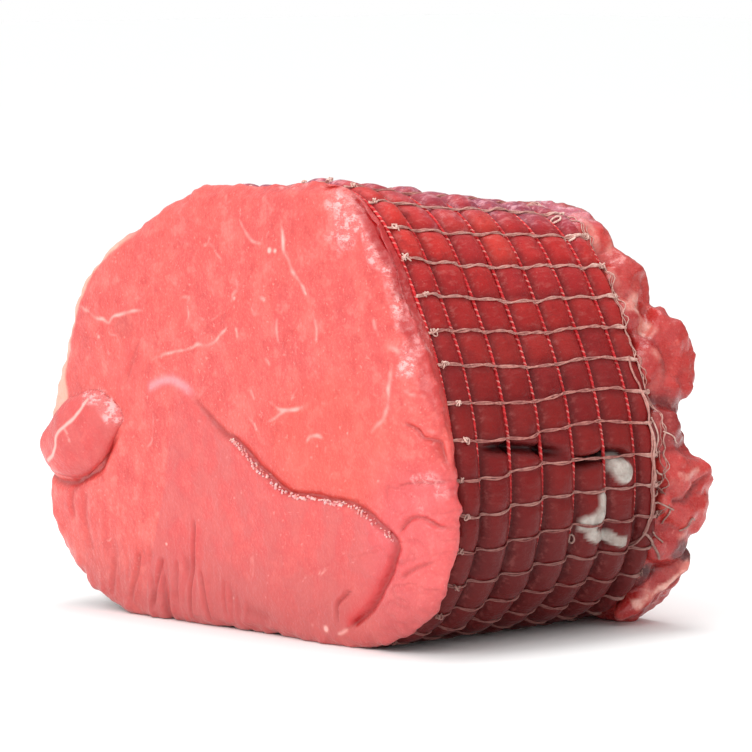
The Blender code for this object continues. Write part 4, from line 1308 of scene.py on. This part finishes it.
# %% Floor
bpy.ops.mesh.primitive_plane_add(size=14.0, location=(0.0, 0.0, 0.0))
floor = bpy.context.object
floor.name = "floor"
white = bpy.data.materials.new("white_floor")
white.use_nodes = True
white.node_tree.nodes["Principled BSDF"].inputs["Base Color"].default_value = (0.99, 1.0, 0.995, 1.0)
white.node_tree.nodes["Principled BSDF"].inputs["Roughness"].default_value = 0.7
floor.data.materials.append(white)

# %% Light
scene = bpy.context.scene
scene.view_settings.view_transform = "Standard"
world = bpy.data.worlds.new("white_room")
world.use_nodes = True
scene.world = world
sky = world.node_tree.nodes["Background"]
sky.inputs["Color"].default_value = (1.0, 1.0, 1.0, 1.0)
way = world.node_tree.nodes.new("ShaderNodeTexCoord")
toward = world.node_tree.nodes.new("ShaderNodeVectorMath")
toward.operation = "DOT_PRODUCT"
toward.inputs[1].default_value = (-0.66, -0.02, 0.75)
soft = world.node_tree.nodes.new("ShaderNodeMapRange")
soft.interpolation_type = "SMOOTHSTEP"
for index, number in ((1, -0.7), (2, 0.9), (3, 0.24), (4, 1.28)):
    soft.inputs[index].default_value = number
world.node_tree.links.new(way.outputs["Generated"], toward.inputs[0])
world.node_tree.links.new(toward.outputs["Value"], soft.inputs[0])
world.node_tree.links.new(soft.outputs[0], sky.inputs["Strength"])
bright = world.node_tree.nodes.new("ShaderNodeBackground")
bright.inputs["Color"].default_value = (1.0, 1.0, 1.0, 1.0)
seen = world.node_tree.nodes.new("ShaderNodeLightPath")
choose = world.node_tree.nodes.new("ShaderNodeMixShader")
world.node_tree.links.new(seen.outputs["Is Camera Ray"], choose.inputs[0])
world.node_tree.links.new(sky.outputs[0], choose.inputs[1])
world.node_tree.links.new(bright.outputs[0], choose.inputs[2])
world.node_tree.links.new(choose.outputs[0], world.node_tree.nodes["World Output"].inputs[0])
middle = (cad_low + cad_high) / 2


def lamp(name, direction, distance, size, power):
    light = bpy.data.lights.new(name, "AREA")
    light.shape = "DISK"
    light.size = size
    light.energy = power
    made = bpy.data.objects.new(name, light)
    scene.collection.objects.link(made)
    back = Vector(direction).normalized()
    made.location = middle + back * distance
    made.rotation_euler = back.to_track_quat("Z", "Y").to_euler()
    return made


lamp("front_lamp", (-1.0, -0.10, 0.60), 1.6, 0.9, 8.2)
lamp("top_lamp", (0.1, 0.1, 1.0), 1.5, 0.8, 7.5)

# %% Camera
camera_data = bpy.data.cameras.new("camera")
camera_data.lens = 239.1
camera_data.clip_start, camera_data.clip_end = 0.05, 20.0
camera = bpy.data.objects.new("camera", camera_data)
scene.collection.objects.link(camera)
view_turn, view_rise, view_distance = math.radians(-42.0), math.radians(5.5), 1.5
back = Vector((math.sin(view_turn) * math.cos(view_rise), -math.cos(view_turn) * math.cos(view_rise),
               math.sin(view_rise)))
right = Vector((math.cos(view_turn), math.sin(view_turn), 0.0))
above = back.cross(right)
target = Vector((FACE_X, -0.0026, 0.070))
camera.location = target + back * view_distance
aim = -back + right * (126 / 4995) + above * (24 / 4995)
camera.rotation_mode = "QUATERNION"
camera.rotation_quaternion = aim.to_track_quat("-Z", "Y")
scene.camera = camera

# %% Sizes and the end
print("CAD box", [round(1000 * v, 1) for v in (*cad_low, *cad_high)])
